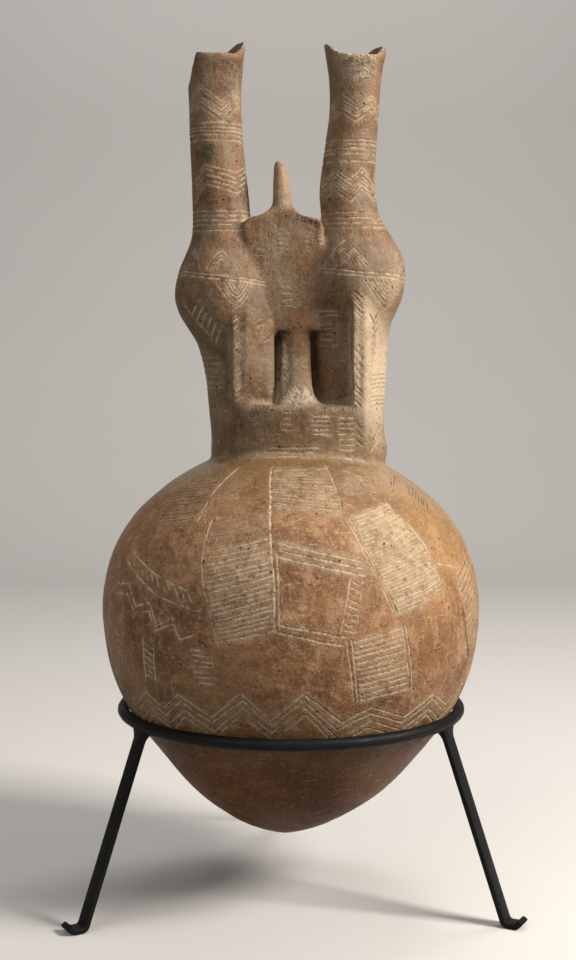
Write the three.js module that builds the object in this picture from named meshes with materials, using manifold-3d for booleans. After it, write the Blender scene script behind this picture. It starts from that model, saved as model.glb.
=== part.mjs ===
import * as THREE from "three";
import { mergeVertices } from "three/addons/utils/BufferGeometryUtils.js";
import Module from "manifold-3d";

// A double-necked jug, built up by hand from clay members, resting in an iron ring stand.
// Millimetres, +Z up. Heights on the jug are above the crown of its body,
// which is the top of the round body between the two necks.

// Space left between neighbouring pieces, filled by slip in clay and by weld metal in iron
const JOINT_GAP = 0.3;

// Body of the jug
const GIRTH_RADIUS = 130.7;
const GIRTH_HEIGHT = 155.6;
const BODY_HEIGHT = 275;
const BODY_WALL = 7;

// Both necks
const NECK_WALL = 6.5;
const STEM_RADIUS = 26;
const BULB_RADIUS = 33;
const TUBE_RADIUS = 19.4;
const THROAT_RADIUS = 16.9;
const LIP_RADIUS = 20.3;
const SPIGOT_RADIUS = 22.5;
const SPIGOT_WALL = 5;
const BULB_LENGTH = 71;
const MOUTH_LENGTH = 20;
const RIM_HEIGHT = 269;
const RIM_PEAK = 4;
const RIM_DIP = 8;

// Sideways places of the left neck, from its foot to its mouth
const LEFT_FOOT_X = -29;
const LEFT_STEM_X = -35;
const LEFT_BULB_X = -46.5;
const LEFT_TUBE_X = -48;
const LEFT_MOUTH_X = -52;
const LEFT_BULB_HEIGHT = 103;

// Sideways places of the right neck, from its foot to its mouth
const RIGHT_FOOT_X = 38;
const RIGHT_STEM_X = 40.5;
const RIGHT_BULB_X = 45;
const RIGHT_TUBE_X = 38.7;
const RIGHT_MOUTH_X = 43.8;
const RIGHT_BULB_HEIGHT = 115;

// Upper panel that bridges the necks, with its horn
const PANEL_UNDERSIDE = 77.5;
const PANEL_CORNER = 150;
const PANEL_TOP = 162;
const PANEL_WIDTH = 54;
const PANEL_THICKNESS = 18;
const PANEL_FRONT = -20;
const PANEL_MIDDLE_X = -5;
const WEB_THICKNESS = 8;
const WEB_BACK = 1.5;
const HORN_WIDTH = 13;
const HORN_TIP_WIDTH = 7;
const HORN_LENGTH = 29;
const HORN_THICKNESS = 11;

// Lower panel and the window frame above it
const SILL_HEIGHT = 28;
const SILL_RADIUS = 64;
const SILL_WIDTH = 91;
const SILL_FRONT = -44;
const SILL_DEPTH = 28;
const SILL_MIDDLE_X = 4;
const POST_WIDTH = 20;
const POST_TOP_WIDTH = 15;
const POST_THICKNESS = 13;
const POST_FRONT = -41;
const POST_LEAN = 0.42;
const POST_X = 3.3;
const STRAP_FRONT = -36;
const STRAP_BEVEL = 9;
const LEFT_STRAP_X = -30.6;
const LEFT_STRAP_FLANK = 17;
const RIGHT_STRAP_X = 49.3;
const RIGHT_STRAP_FLANK = 12;

// Handle behind the necks
const HANDLE_WIDTH = 20;
const HANDLE_THICKNESS = 10;
const HANDLE_X = -1;
const HANDLE_REACH = 97;

// Iron stand
const RING_RADIUS = 117;
const RING_HEIGHT = 131.4;
const ROD_DIAMETER = 8;
const BAR_WIDTH = 12;
const BAR_THICKNESS = 4;
const STAND_TURN = 2;
const LEG_SPLAY = 19.5;
const BEND_RADIUS = 4;
const FOOT_PAD = 4;
const TOE_RADIUS = 4;
const TOE_LIFT = 55;
const TOE_LENGTH = 2.5;
const WELD_RADIUS = 8.2;
const WELD_LENGTH = 6;

// Facets round each kind of piece
const BODY_FACETS = 44;
const NECK_FACETS = 28;
const STEM_STEPS = 6;
const BULB_STEPS = 11;
const TUBE_STEPS = 7;
const MOUTH_STEPS = 4;
const RING_FACETS = 56;
const ROD_FACETS = 10;

const clay = new THREE.MeshStandardMaterial({ color: 0x8e5230, roughness: 0.42, metalness: 0 });
const darkClay = new THREE.MeshStandardMaterial({ color: 0x6f3f27, roughness: 0.48, metalness: 0 });
const iron = new THREE.MeshStandardMaterial({ color: 0x17181a, roughness: 0.45, metalness: 0.6 });

const wasm = await Module();
wasm.setup();

const rad = THREE.MathUtils.degToRad;
const CROWN = BODY_HEIGHT;
const MOUTH_START = RIM_HEIGHT - MOUTH_LENGTH;

// Solid for joining and cutting, with its faces turned outward
function solidOf(geometry) {
  const bare = geometry.index ? geometry.toNonIndexed() : geometry.clone();
  bare.deleteAttribute("normal");
  bare.deleteAttribute("uv");
  const joined = mergeVertices(bare, 1e-3);
  const corners = joined.index.array;
  const kept = [];
  for (let i = 0; i < corners.length; i += 3) {
    const [a, b, c] = [corners[i], corners[i + 1], corners[i + 2]];
    if (a !== b && b !== c && a !== c) kept.push(a, b, c);
  }
  const points = Float32Array.from(joined.attributes.position.array);
  const place = (k) => new THREE.Vector3().fromArray(points, 3 * k);
  let volume = 0;
  for (let i = 0; i < kept.length; i += 3) {
    volume += place(kept[i]).dot(place(kept[i + 1]).cross(place(kept[i + 2])));
  }
  if (volume < 0) kept.reverse();
  return new wasm.Manifold(new wasm.Mesh({
    numProp: 3,
    vertProperties: points,
    triVerts: Uint32Array.from(kept),
  }));
}

// Mesh that is shown for a finished solid
function pieceOf(name, solid, material) {
  const mesh = solid.getMesh();
  const geometry = new THREE.BufferGeometry();
  const places = new THREE.BufferAttribute(Float32Array.from(mesh.vertProperties), 3);
  geometry.setAttribute("position", places);
  geometry.setIndex(new THREE.BufferAttribute(Uint32Array.from(mesh.triVerts), 1));
  geometry.computeVertexNormals();
  const piece = new THREE.Mesh(geometry, material);
  piece.name = name;
  return piece;
}

// Round solid turned about the upright axis from radius and height pairs
function turned(profile, facets) {
  const points = profile.map(([r, z]) => new THREE.Vector2(Math.max(r, 0), z));
  return new THREE.LatheGeometry(points, facets).rotateX(Math.PI / 2);
}

// Smooth value at one height through a list of height and value pairs
function valueAt(pairs, z) {
  const last = pairs.length - 1;
  let i = 0;
  while (i < last - 1 && z > pairs[i + 1][0]) i += 1;
  const slope = (k) => {
    const a = pairs[Math.max(k - 1, 0)];
    const b = pairs[Math.min(k + 1, last)];
    return (b[1] - a[1]) / (b[0] - a[0]);
  };
  const [z0, v0] = pairs[i];
  const [z1, v1] = pairs[i + 1];
  const span = z1 - z0;
  const t = THREE.MathUtils.clamp((z - z0) / span, 0, 1);
  const rise = t * t * (3 - 2 * t);
  const start = t * (1 - t) * (1 - t) * span * slope(i);
  const end = t * t * (1 - t) * span * slope(i + 1);
  return v0 + (v1 - v0) * rise + start - end;
}

// Outline of the body from its tip to its crown
const upperRise = BODY_HEIGHT - GIRTH_HEIGHT;
const lowerShape = [
  [0, 0],
  [0.18, 0.056],
  [0.345, 0.137],
  [0.528, 0.26],
  [0.712, 0.426],
  [0.857, 0.588],
  [0.955, 0.776],
];
const upperShape = [
  [1, 0],
  [0.979, 0.243],
  [0.914, 0.452],
  [0.811, 0.62],
  [0.635, 0.785],
  [0.45, 0.902],
  [0.225, 0.975],
  [0, 1],
];
const bodyCurve = new THREE.SplineCurve([
  ...lowerShape.map(([r, z]) => new THREE.Vector2(r * GIRTH_RADIUS, z * GIRTH_HEIGHT)),
  ...upperShape.map(([r, z]) => new THREE.Vector2(r * GIRTH_RADIUS, GIRTH_HEIGHT + z * upperRise)),
]);
const GIRTH_PLACE = lowerShape.length / (lowerShape.length + upperShape.length - 1);

// Points of the body outline moved outward by a distance, between two places along it
function bodyLine(from, to, count, outward) {
  const line = [];
  for (let i = 0; i <= count; i += 1) {
    const place = from + (to - from) * i / count;
    const point = bodyCurve.getPoint(place);
    const along = bodyCurve.getTangent(place);
    let r = point.x + along.y * outward;
    let z = point.y - along.x * outward;
    if (place < 1e-6) [r, z] = [0, -outward];
    if (place > 1 - 1e-6) [r, z] = [0, BODY_HEIGHT + outward];
    if (r > 1 || place < 1e-6 || place > 1 - 1e-6) line.push([r, z]);
  }
  return line;
}

// Whole body grown by the joint gap, for cutting whatever is luted against it
const LOWER_STEPS = 14;
const UPPER_STEPS = 13;
const bodyEnvelope = solidOf(turned([
  ...bodyLine(0, GIRTH_PLACE, LOWER_STEPS, JOINT_GAP),
  ...bodyLine(GIRTH_PLACE, 1, UPPER_STEPS, JOINT_GAP).slice(1),
], BODY_FACETS));

// Round body: a bowl up to the girth and a dome above it
const girthLow = GIRTH_HEIGHT - JOINT_GAP / 2;
const girthHigh = GIRTH_HEIGHT + JOINT_GAP / 2;
const bowlProfile = [
  ...bodyLine(0, GIRTH_PLACE, LOWER_STEPS, 0).slice(0, -1),
  [GIRTH_RADIUS, girthLow],
  [GIRTH_RADIUS - BODY_WALL, girthLow],
  ...bodyLine(0, GIRTH_PLACE, 11, -BODY_WALL).slice(0, -1).reverse(),
];
const domeProfile = [
  ...bodyLine(GIRTH_PLACE, 1, UPPER_STEPS, 0).slice(1).reverse(),
  [GIRTH_RADIUS, girthHigh],
  [GIRTH_RADIUS - BODY_WALL, girthHigh],
  ...bodyLine(GIRTH_PLACE, 1, 10, -BODY_WALL).slice(1),
];
const bowl = solidOf(turned(bowlProfile, BODY_FACETS));
let dome = solidOf(turned(domeProfile, BODY_FACETS));

// One neck: where it stands sideways and how wide it is at each height
const FOOT_DEPTH = -STEM_RADIUS * 0.77;
function neckOf(foot, stem, bulb, tube, mouth, bulbHeight) {
  return {
    stemTop: bulbHeight - BULB_LENGTH * 0.437,
    bulbTop: bulbHeight + BULB_LENGTH * 0.563,
    sideways: [
      [FOOT_DEPTH, foot],
      [STEM_RADIUS * 0.2, foot],
      [bulbHeight * 0.55, stem],
      [bulbHeight - BULB_LENGTH * 0.085, bulb],
      [bulbHeight + BULB_LENGTH * 0.225, bulb],
      [bulbHeight + BULB_LENGTH * 0.817, tube],
      [MOUTH_START - MOUTH_LENGTH, mouth],
      [RIM_HEIGHT + MOUTH_LENGTH, mouth],
    ],
    radius: [
      [FOOT_DEPTH, STEM_RADIUS],
      [STEM_RADIUS * 0.8, STEM_RADIUS],
      [bulbHeight - BULB_LENGTH * 0.479, STEM_RADIUS * 0.992],
      [bulbHeight - BULB_LENGTH * 0.352, STEM_RADIUS * 0.335 + BULB_RADIUS * 0.6],
      [bulbHeight - BULB_LENGTH * 0.197, BULB_RADIUS * 0.97],
      [bulbHeight, BULB_RADIUS],
      [bulbHeight + BULB_LENGTH * 0.197, BULB_RADIUS * 0.94],
      [bulbHeight + BULB_LENGTH * 0.366, BULB_RADIUS * 0.45 + TUBE_RADIUS * 0.55],
      [bulbHeight + BULB_LENGTH * 0.549, TUBE_RADIUS * 1.046],
      [bulbHeight + BULB_LENGTH * 0.845, TUBE_RADIUS * 0.974],
      [MOUTH_START - MOUTH_LENGTH * 1.2, THROAT_RADIUS],
      [MOUTH_START, THROAT_RADIUS * 1.024],
      [RIM_HEIGHT, LIP_RADIUS],
    ],
  };
}

const leftNeck = neckOf(
  LEFT_FOOT_X,
  LEFT_STEM_X,
  LEFT_BULB_X,
  LEFT_TUBE_X,
  LEFT_MOUTH_X,
  LEFT_BULB_HEIGHT,
);
const rightNeck = neckOf(
  RIGHT_FOOT_X,
  RIGHT_STEM_X,
  RIGHT_BULB_X,
  RIGHT_TUBE_X,
  RIGHT_MOUTH_X,
  RIGHT_BULB_HEIGHT,
);

// Moves each level of an upright round solid onto the neck's own middle line, and up to the crown
function leaned(geometry, neck) {
  const places = geometry.attributes.position;
  for (let i = 0; i < places.count; i += 1) {
    const z = places.getZ(i);
    places.setX(i, places.getX(i) + valueAt(neck.sideways, z));
    places.setZ(i, z + CROWN);
  }
  return geometry;
}

function levels(from, to, count) {
  return Array.from({ length: count + 1 }, (unused, i) => from + (to - from) * i / count);
}

// Hollow length of a neck between two heights
function neckTube(neck, from, to, count) {
  const outside = levels(from, to, count).map((z) => [valueAt(neck.radius, z), z]);
  const inside = levels(to, from, count).map((z) => [valueAt(neck.radius, z) - NECK_WALL, z]);
  return turned([...outside, ...inside, outside[0]], NECK_FACETS);
}

// Filled neck grown by the joint gap, for cutting whatever is luted against it
function neckEnvelope(neck) {
  const heights = [
    ...levels(FOOT_DEPTH, neck.stemTop, STEM_STEPS),
    ...levels(neck.stemTop, neck.bulbTop, BULB_STEPS).slice(1),
    ...levels(neck.bulbTop, MOUTH_START, TUBE_STEPS).slice(1),
    ...levels(MOUTH_START, RIM_HEIGHT, MOUTH_STEPS).slice(1),
  ];
  const side = heights.map((z) => [valueAt(neck.radius, z) + JOINT_GAP, z]);
  return solidOf(leaned(turned([[0, FOOT_DEPTH], ...side, [0, RIM_HEIGHT]], NECK_FACETS), neck));
}

// Narrow end of a stem that passes through the wall of the dome
function spigot(neck, radius, bore) {
  const [low, high] = [-BODY_WALL * 2.3, BODY_WALL * 1.3];
  const profile = bore > 0
    ? [[radius, low], [radius, high], [bore, high], [bore, low], [radius, low]]
    : [[0, low], [radius, low], [radius, high], [0, high]];
  return solidOf(leaned(turned(profile, NECK_FACETS), neck));
}

function stemOf(neck) {
  const tube = solidOf(leaned(neckTube(neck, FOOT_DEPTH, neck.stemTop - JOINT_GAP / 2, STEM_STEPS), neck));
  const cutTube = tube.subtract(bodyEnvelope);
  return cutTube.add(spigot(neck, SPIGOT_RADIUS, SPIGOT_RADIUS - SPIGOT_WALL));
}

function bulbOf(neck) {
  const from = neck.stemTop + JOINT_GAP / 2;
  return solidOf(leaned(neckTube(neck, from, neck.bulbTop - JOINT_GAP / 2, BULB_STEPS), neck));
}

function tubeOf(neck) {
  const from = neck.bulbTop + JOINT_GAP / 2;
  return solidOf(leaned(neckTube(neck, from, MOUTH_START - JOINT_GAP / 2, TUBE_STEPS), neck));
}

// Mouth: the flared lip rises to a peak at each side and dips in front and behind
function mouthOf(neck) {
  const from = MOUTH_START + JOINT_GAP / 2;
  const rim = (LIP_RADIUS * 2 - 4) / 2;
  const bore = (z) => valueAt(neck.radius, z) - NECK_WALL + 1.5;
  const outside = levels(from, RIM_HEIGHT - 1.5, MOUTH_STEPS).map((z) => [valueAt(neck.radius, z), z]);
  const inside = levels(RIM_HEIGHT - 3, from, MOUTH_STEPS).map((z) => [bore(z), z]);
  const profile = [...outside, [rim, RIM_HEIGHT], ...inside, outside[0]];
  const geometry = turned(profile, NECK_FACETS);
  const places = geometry.attributes.position;
  for (let i = 0; i < places.count; i += 1) {
    const [x, y, z] = [places.getX(i), places.getY(i), places.getZ(i)];
    const share = THREE.MathUtils.smoothstep(z, from + 2, RIM_HEIGHT);
    const saddle = (x * x - y * y) / (x * x + y * y);
    places.setZ(i, z + (saddle > 0 ? RIM_PEAK : RIM_DIP) * share * saddle);
  }
  return solidOf(leaned(geometry, neck));
}

for (const neck of [leftNeck, rightNeck]) {
  dome = dome.subtract(spigot(neck, SPIGOT_RADIUS + JOINT_GAP, 0));
}
const leftEnvelope = neckEnvelope(leftNeck);
const rightEnvelope = neckEnvelope(rightNeck);

// Flat outline in front view, given thickness to the back and leaned backward as it rises
function slab(outline, front, thickness, lean, leanFrom) {
  const shape = new THREE.Shape(outline.map(([x, z]) => new THREE.Vector2(x, z)));
  const geometry = new THREE.ExtrudeGeometry(shape, { depth: thickness, bevelEnabled: false });
  geometry.rotateX(Math.PI / 2).translate(0, front + thickness, 0);
  const places = geometry.attributes.position;
  for (let i = 0; i < places.count; i += 1) {
    places.setY(i, places.getY(i) + (places.getZ(i) - leanFrom) * lean);
  }
  return geometry.translate(0, 0, CROWN);
}

// Upper panel, cut back round both necks
const panelHigh = PANEL_CORNER - PANEL_UNDERSIDE;
const panelRise = PANEL_TOP - PANEL_CORNER;
const panelOutline = [
  [PANEL_MIDDLE_X - PANEL_WIDTH * 0.444, PANEL_UNDERSIDE],
  [PANEL_MIDDLE_X + PANEL_WIDTH * 0.76, PANEL_UNDERSIDE],
  [PANEL_MIDDLE_X + PANEL_WIDTH * 0.76, PANEL_UNDERSIDE + panelHigh * 0.22],
  [PANEL_MIDDLE_X + PANEL_WIDTH * 0.519, PANEL_CORNER - panelRise * 0.33],
  [PANEL_MIDDLE_X + PANEL_WIDTH * 0.491, PANEL_CORNER],
  [PANEL_MIDDLE_X + PANEL_WIDTH * 0.426, PANEL_CORNER + panelRise * 0.17],
  [PANEL_MIDDLE_X + PANEL_WIDTH * 0.204, PANEL_CORNER + panelRise * 0.46],
  [PANEL_MIDDLE_X + HORN_WIDTH / 2, PANEL_TOP],
  [PANEL_MIDDLE_X - HORN_WIDTH / 2, PANEL_TOP],
  [PANEL_MIDDLE_X - PANEL_WIDTH * 0.241, PANEL_CORNER + panelRise * 0.5],
  [PANEL_MIDDLE_X - PANEL_WIDTH * 0.407, PANEL_CORNER + panelRise * 0.17],
  [PANEL_MIDDLE_X - PANEL_WIDTH * 0.472, PANEL_CORNER],
  [PANEL_MIDDLE_X - PANEL_WIDTH * 0.5, PANEL_CORNER - panelRise * 0.33],
  [PANEL_MIDDLE_X - PANEL_WIDTH * 0.481, PANEL_UNDERSIDE + panelHigh * 0.22],
];
const panelSlab = solidOf(slab(panelOutline, PANEL_FRONT, PANEL_THICKNESS, 0, 0));

// Thinner web below the panel, which closes the space between the stems down to the body
const webOutline = [
  [PANEL_MIDDLE_X - PANEL_WIDTH * 0.37, -BODY_WALL],
  [PANEL_MIDDLE_X + PANEL_WIDTH * 0.63, -BODY_WALL],
  [PANEL_MIDDLE_X + PANEL_WIDTH * 0.63, PANEL_UNDERSIDE + WEB_THICKNESS],
  [PANEL_MIDDLE_X - PANEL_WIDTH * 0.37, PANEL_UNDERSIDE + WEB_THICKNESS],
];
const web = solidOf(slab(webOutline, WEB_BACK - WEB_THICKNESS, WEB_THICKNESS, 0, 0));
const upperPanel = panelSlab.add(web)
  .subtract(leftEnvelope).subtract(rightEnvelope).subtract(bodyEnvelope);

// Horn on the middle of the panel's top
const hornLow = PANEL_TOP + JOINT_GAP;
const hornTop = hornLow + HORN_LENGTH;
const hornOutline = [
  [PANEL_MIDDLE_X - HORN_WIDTH / 2, hornLow],
  [PANEL_MIDDLE_X + HORN_WIDTH / 2, hornLow],
  [PANEL_MIDDLE_X + HORN_WIDTH * 0.36, hornLow + HORN_LENGTH * 0.35],
  [PANEL_MIDDLE_X + HORN_TIP_WIDTH / 2 - 1.5, hornTop - 3],
  [PANEL_MIDDLE_X - 1.5, hornTop],
  [PANEL_MIDDLE_X - HORN_TIP_WIDTH / 2 - 2.5, hornTop - 3],
  [PANEL_MIDDLE_X - HORN_WIDTH * 0.42, hornLow + HORN_LENGTH * 0.35],
];
const hornFront = PANEL_FRONT + (PANEL_THICKNESS - HORN_THICKNESS) * 0.35;
const horn = solidOf(slab(hornOutline, hornFront, HORN_THICKNESS, 0, 0));

// Lower panel: a curved block in front of the stems, its foot fitted to the dome
function sillBlock() {
  const back = SILL_FRONT + SILL_RADIUS;
  const half = Math.asin(SILL_WIDTH / 2 / SILL_RADIUS);
  const front = -Math.PI / 2;
  const plan = new THREE.Shape();
  plan.absarc(SILL_MIDDLE_X, back, SILL_RADIUS, front - half, front + half, false);
  plan.absarc(SILL_MIDDLE_X, back, SILL_RADIUS - SILL_DEPTH, front + half, front - half, true);
  const depth = SILL_HEIGHT + SILL_DEPTH;
  const block = new THREE.ExtrudeGeometry(plan, { depth, bevelEnabled: false, curveSegments: 14 });
  return solidOf(block.translate(0, 0, CROWN - SILL_DEPTH));
}
const lowerPanel = sillBlock().subtract(bodyEnvelope).subtract(leftEnvelope).subtract(rightEnvelope);

// Post that stands on the lower panel and leans back under the upper one
const postLow = SILL_HEIGHT + JOINT_GAP;
const postHigh = PANEL_UNDERSIDE - JOINT_GAP;
const postOutline = [
  [POST_X - POST_WIDTH / 2, postLow],
  [POST_X + POST_WIDTH * 0.7, postLow],
  [POST_X + POST_WIDTH / 2, postLow + POST_WIDTH * 0.4],
  [POST_X + POST_TOP_WIDTH / 2, postHigh],
  [POST_X - POST_TOP_WIDTH / 2, postHigh],
];
const post = solidOf(slab(postOutline, POST_FRONT, POST_THICKNESS, POST_LEAN, postLow))
  .subtract(leftEnvelope).subtract(rightEnvelope);

// Bar of one section swept along a path that stays in an upright plane
function swept(section, path, steps) {
  const shape = new THREE.Shape(section.map(([x, y]) => new THREE.Vector2(x, y)));
  const curve = new THREE.CatmullRomCurve3(path.map(([x, y, z]) => new THREE.Vector3(x, y, z)));
  return new THREE.ExtrudeGeometry(shape, { steps, extrudePath: curve, bevelEnabled: false });
}

// Strap: an upright ridge in front of a stem, steep on its left and sloping away on its right
function strapOf(x, flank, neck, envelope) {
  const section = [
    [0, 0.8],
    [-STRAP_BEVEL * 0.75, STRAP_BEVEL],
    [-STRAP_BEVEL * 1.8, STRAP_BEVEL],
    [-flank - STRAP_BEVEL * 0.67, -flank],
    [-flank - STRAP_BEVEL * 0.22, -flank],
    [-0.8, -2.5],
    [0, -1],
  ].map(([forward, left]) => [forward, -left]);
  const low = CROWN + SILL_HEIGHT + JOINT_GAP;
  const high = CROWN + neck.stemTop;
  const path = [
    [x, STRAP_FRONT, low - STRAP_BEVEL],
    [x, STRAP_FRONT, low + (high - low) * 0.4],
    [x, STRAP_FRONT, high - BULB_LENGTH * 0.11],
    [x, STRAP_FRONT * 0.92, high + BULB_LENGTH * 0.14],
    [x, STRAP_FRONT * 0.69, high + BULB_LENGTH * 0.31],
    [x, STRAP_FRONT * 0.33, high + BULB_LENGTH * 0.42],
  ];
  const wide = STEM_RADIUS * 4;
  const below = new THREE.BoxGeometry(wide, wide, wide).translate(x, 0, low - wide / 2);
  return solidOf(swept(section, path, 14))
    .subtract(envelope)
    .subtract(solidOf(below))
    .subtract(panelSlab.translate([0, -JOINT_GAP, 0]))
    .subtract(panelSlab.translate([0, 0, -JOINT_GAP]));
}

// Handle: springs from the back of the upper panel, its lower end thrust through the dome
const shoulderLine = bodyLine(GIRTH_PLACE, 1, 60, 0);
const shoulderHeight = shoulderLine.find(([r]) => r < HANDLE_REACH * 0.9)[1] - HANDLE_THICKNESS * 0.3;
function handleBar(grow) {
  const [w, t] = [HANDLE_WIDTH / 2 + grow, HANDLE_THICKNESS / 2 + grow];
  const section = [
    [w, -t * 0.5],
    [w, t * 0.5],
    [w * 0.6, t],
    [-w * 0.6, t],
    [-w, t * 0.5],
    [-w, -t * 0.5],
    [-w * 0.6, -t],
    [w * 0.6, -t],
  ];
  const panelBack = PANEL_FRONT + PANEL_THICKNESS;
  const path = [
    [HANDLE_X, panelBack - PANEL_THICKNESS * 0.22, CROWN + PANEL_UNDERSIDE + panelHigh * 0.52],
    [HANDLE_X, HANDLE_REACH * 0.35, CROWN + PANEL_UNDERSIDE + panelHigh * 0.65],
    [HANDLE_X, HANDLE_REACH * 0.78, CROWN + PANEL_UNDERSIDE + panelHigh * 0.41],
    [HANDLE_X, HANDLE_REACH, CROWN + PANEL_UNDERSIDE * 0.6],
    [HANDLE_X, HANDLE_REACH * 1.01, CROWN + PANEL_UNDERSIDE * 0.08],
    [HANDLE_X, HANDLE_REACH * 0.9, shoulderHeight],
    [HANDLE_X, HANDLE_REACH * 0.8, shoulderHeight - HANDLE_THICKNESS * 1.9],
  ];
  return solidOf(swept(section, path, 22));
}
const panelStep = panelSlab.translate([0, JOINT_GAP, 0]);
const handle = handleBar(0).subtract(panelStep).subtract(leftEnvelope).subtract(rightEnvelope);
dome = dome.subtract(handleBar(JOINT_GAP));

// Height of the jug's tip when its flank rests in the ring
function restHeight() {
  const reach = ROD_DIAMETER / 2 + JOINT_GAP;
  const line = bodyLine(0.02, GIRTH_PLACE, 200, reach);
  const i = line.findIndex(([r]) => r > RING_RADIUS);
  const [[r0, z0], [r1, z1]] = [line[i - 1], line[i]];
  return RING_HEIGHT - (z0 + (z1 - z0) * (RING_RADIUS - r0) / (r1 - r0));
}

const jug = new THREE.Group();
jug.name = "jug";
jug.position.z = restHeight();
jug.add(
  pieceOf("body_bowl", bowl, clay),
  pieceOf("body_dome", dome, clay),
  pieceOf("left_stem", stemOf(leftNeck), clay),
  pieceOf("left_bulb", bulbOf(leftNeck), clay),
  pieceOf("left_tube", tubeOf(leftNeck), clay),
  pieceOf("left_mouth", mouthOf(leftNeck), clay),
  pieceOf("right_stem", stemOf(rightNeck), clay),
  pieceOf("right_bulb", bulbOf(rightNeck), clay),
  pieceOf("right_tube", tubeOf(rightNeck), clay),
  pieceOf("right_mouth", mouthOf(rightNeck), clay),
  pieceOf("upper_panel", upperPanel, darkClay),
  pieceOf("upper_horn", horn, clay),
  pieceOf("lower_panel", lowerPanel, darkClay),
  pieceOf("lower_post", post, clay),
  pieceOf("left_strap", strapOf(LEFT_STRAP_X, LEFT_STRAP_FLANK, leftNeck, leftEnvelope), clay),
  pieceOf("right_strap", strapOf(RIGHT_STRAP_X, RIGHT_STRAP_FLANK, rightNeck, rightEnvelope), clay),
  pieceOf("neck_handle", handle, clay),
);

// Ring of round rod
function ringOf(rod) {
  return new THREE.TorusGeometry(RING_RADIUS, rod, ROD_FACETS, RING_FACETS).translate(0, 0, RING_HEIGHT);
}
const ringEnvelope = solidOf(ringOf(ROD_DIAMETER / 2 + JOINT_GAP));

// Middle line of a leg from under the ring to the tip of its toe, as radius and height
const splay = rad(LEG_SPLAY);
const legTop = RING_HEIGHT - ROD_DIAMETER / 2 - JOINT_GAP - 0.6;
const barHalf = BAR_THICKNESS / 2;
const bendTop = barHalf + BEND_RADIUS * (1 - Math.sin(splay));
const padStart = RING_RADIUS + (legTop - bendTop) * Math.tan(splay) + BEND_RADIUS * Math.cos(splay);
const padEnd = padStart + FOOT_PAD;

function legLine() {
  const line = [[RING_RADIUS, legTop]];
  for (let i = 0; i <= 4; i += 1) {
    const turn = (splay - Math.PI / 2) * (1 - i / 4);
    const across = BEND_RADIUS * Math.sin(turn);
    line.push([padStart + across, barHalf + BEND_RADIUS * (1 - Math.cos(turn))]);
  }
  for (let i = 0; i <= 4; i += 1) {
    const turn = rad(TOE_LIFT) * i / 4;
    line.push([padEnd + TOE_RADIUS * Math.sin(turn), barHalf + TOE_RADIUS * (1 - Math.cos(turn))]);
  }
  const [r, z] = line[line.length - 1];
  const tip = rad(TOE_LIFT);
  line.push([r + TOE_LENGTH * Math.cos(tip), z + TOE_LENGTH * Math.sin(tip)]);
  return line;
}

// Flat bar along that line, thickness in its plane and width across it
function legBar(grow, azimuth) {
  const line = legLine().map(([r, z]) => new THREE.Vector2(r, z));
  const normals = line.map((point, i) => {
    const before = point.clone().sub(line[Math.max(i - 1, 0)]).normalize();
    const after = line[Math.min(i + 1, line.length - 1)].clone().sub(point).normalize();
    const along = before.clone().add(after).normalize();
    const part = i > 0 && i < line.length - 1 ? along.dot(after) : 1;
    return new THREE.Vector2(-along.y, along.x).multiplyScalar((barHalf + grow) / part);
  });
  const upper = line.map((point, i) => point.clone().add(normals[i]));
  const lower = line.map((point, i) => point.clone().sub(normals[i]));
  const shape = new THREE.Shape([...upper, ...lower.reverse()]);
  const depth = BAR_WIDTH + 2 * grow;
  const bar = new THREE.ExtrudeGeometry(shape, { depth, bevelEnabled: false });
  return bar.translate(0, 0, -depth / 2).rotateX(Math.PI / 2).rotateZ(azimuth);
}

// Weld bead round the top of a leg, under the ring
function weldOf(azimuth) {
  const profile = [
    [0, -WELD_LENGTH],
    [WELD_RADIUS * 0.8, -WELD_LENGTH],
    [WELD_RADIUS * 0.92, -WELD_LENGTH * 0.6],
    [WELD_RADIUS, -1],
    [WELD_RADIUS * 0.86, 1.6],
    [0, 1.6],
  ];
  const bead = turned(profile, 14).rotateY(-splay).translate(RING_RADIUS, 0, legTop).rotateZ(azimuth);
  return solidOf(bead).subtract(ringEnvelope).subtract(solidOf(legBar(JOINT_GAP, azimuth)));
}

const stand = new THREE.Group();
stand.name = "stand";
stand.add(pieceOf("stand_ring", solidOf(ringOf(ROD_DIAMETER / 2)), iron));
for (const [side, angle] of [["left", 210], ["right", 330], ["back", 90]]) {
  const azimuth = rad(angle + STAND_TURN);
  stand.add(pieceOf(`stand_leg_${side}`, solidOf(legBar(0, azimuth)), iron));
  stand.add(pieceOf(`stand_weld_${side}`, weldOf(azimuth), iron));
}

// The origin is on the floor under the middle of the whole object
const part = new THREE.Group();
part.name = "double_necked_jug";
part.add(stand, jug);
part.updateMatrixWorld(true);
const box = new THREE.Box3().setFromObject(part);
const middle = box.getCenter(new THREE.Vector3());
part.position.set(-middle.x, -middle.y, -box.min.z);

export default part;
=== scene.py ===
"""Looks of a double-necked jug of burnished red clay, resting in a black iron ring stand."""

import contextlib
import math

import bpy
import numpy as np
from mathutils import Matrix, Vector, kdtree, noise
from mathutils.bvhtree import BVHTree


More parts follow.
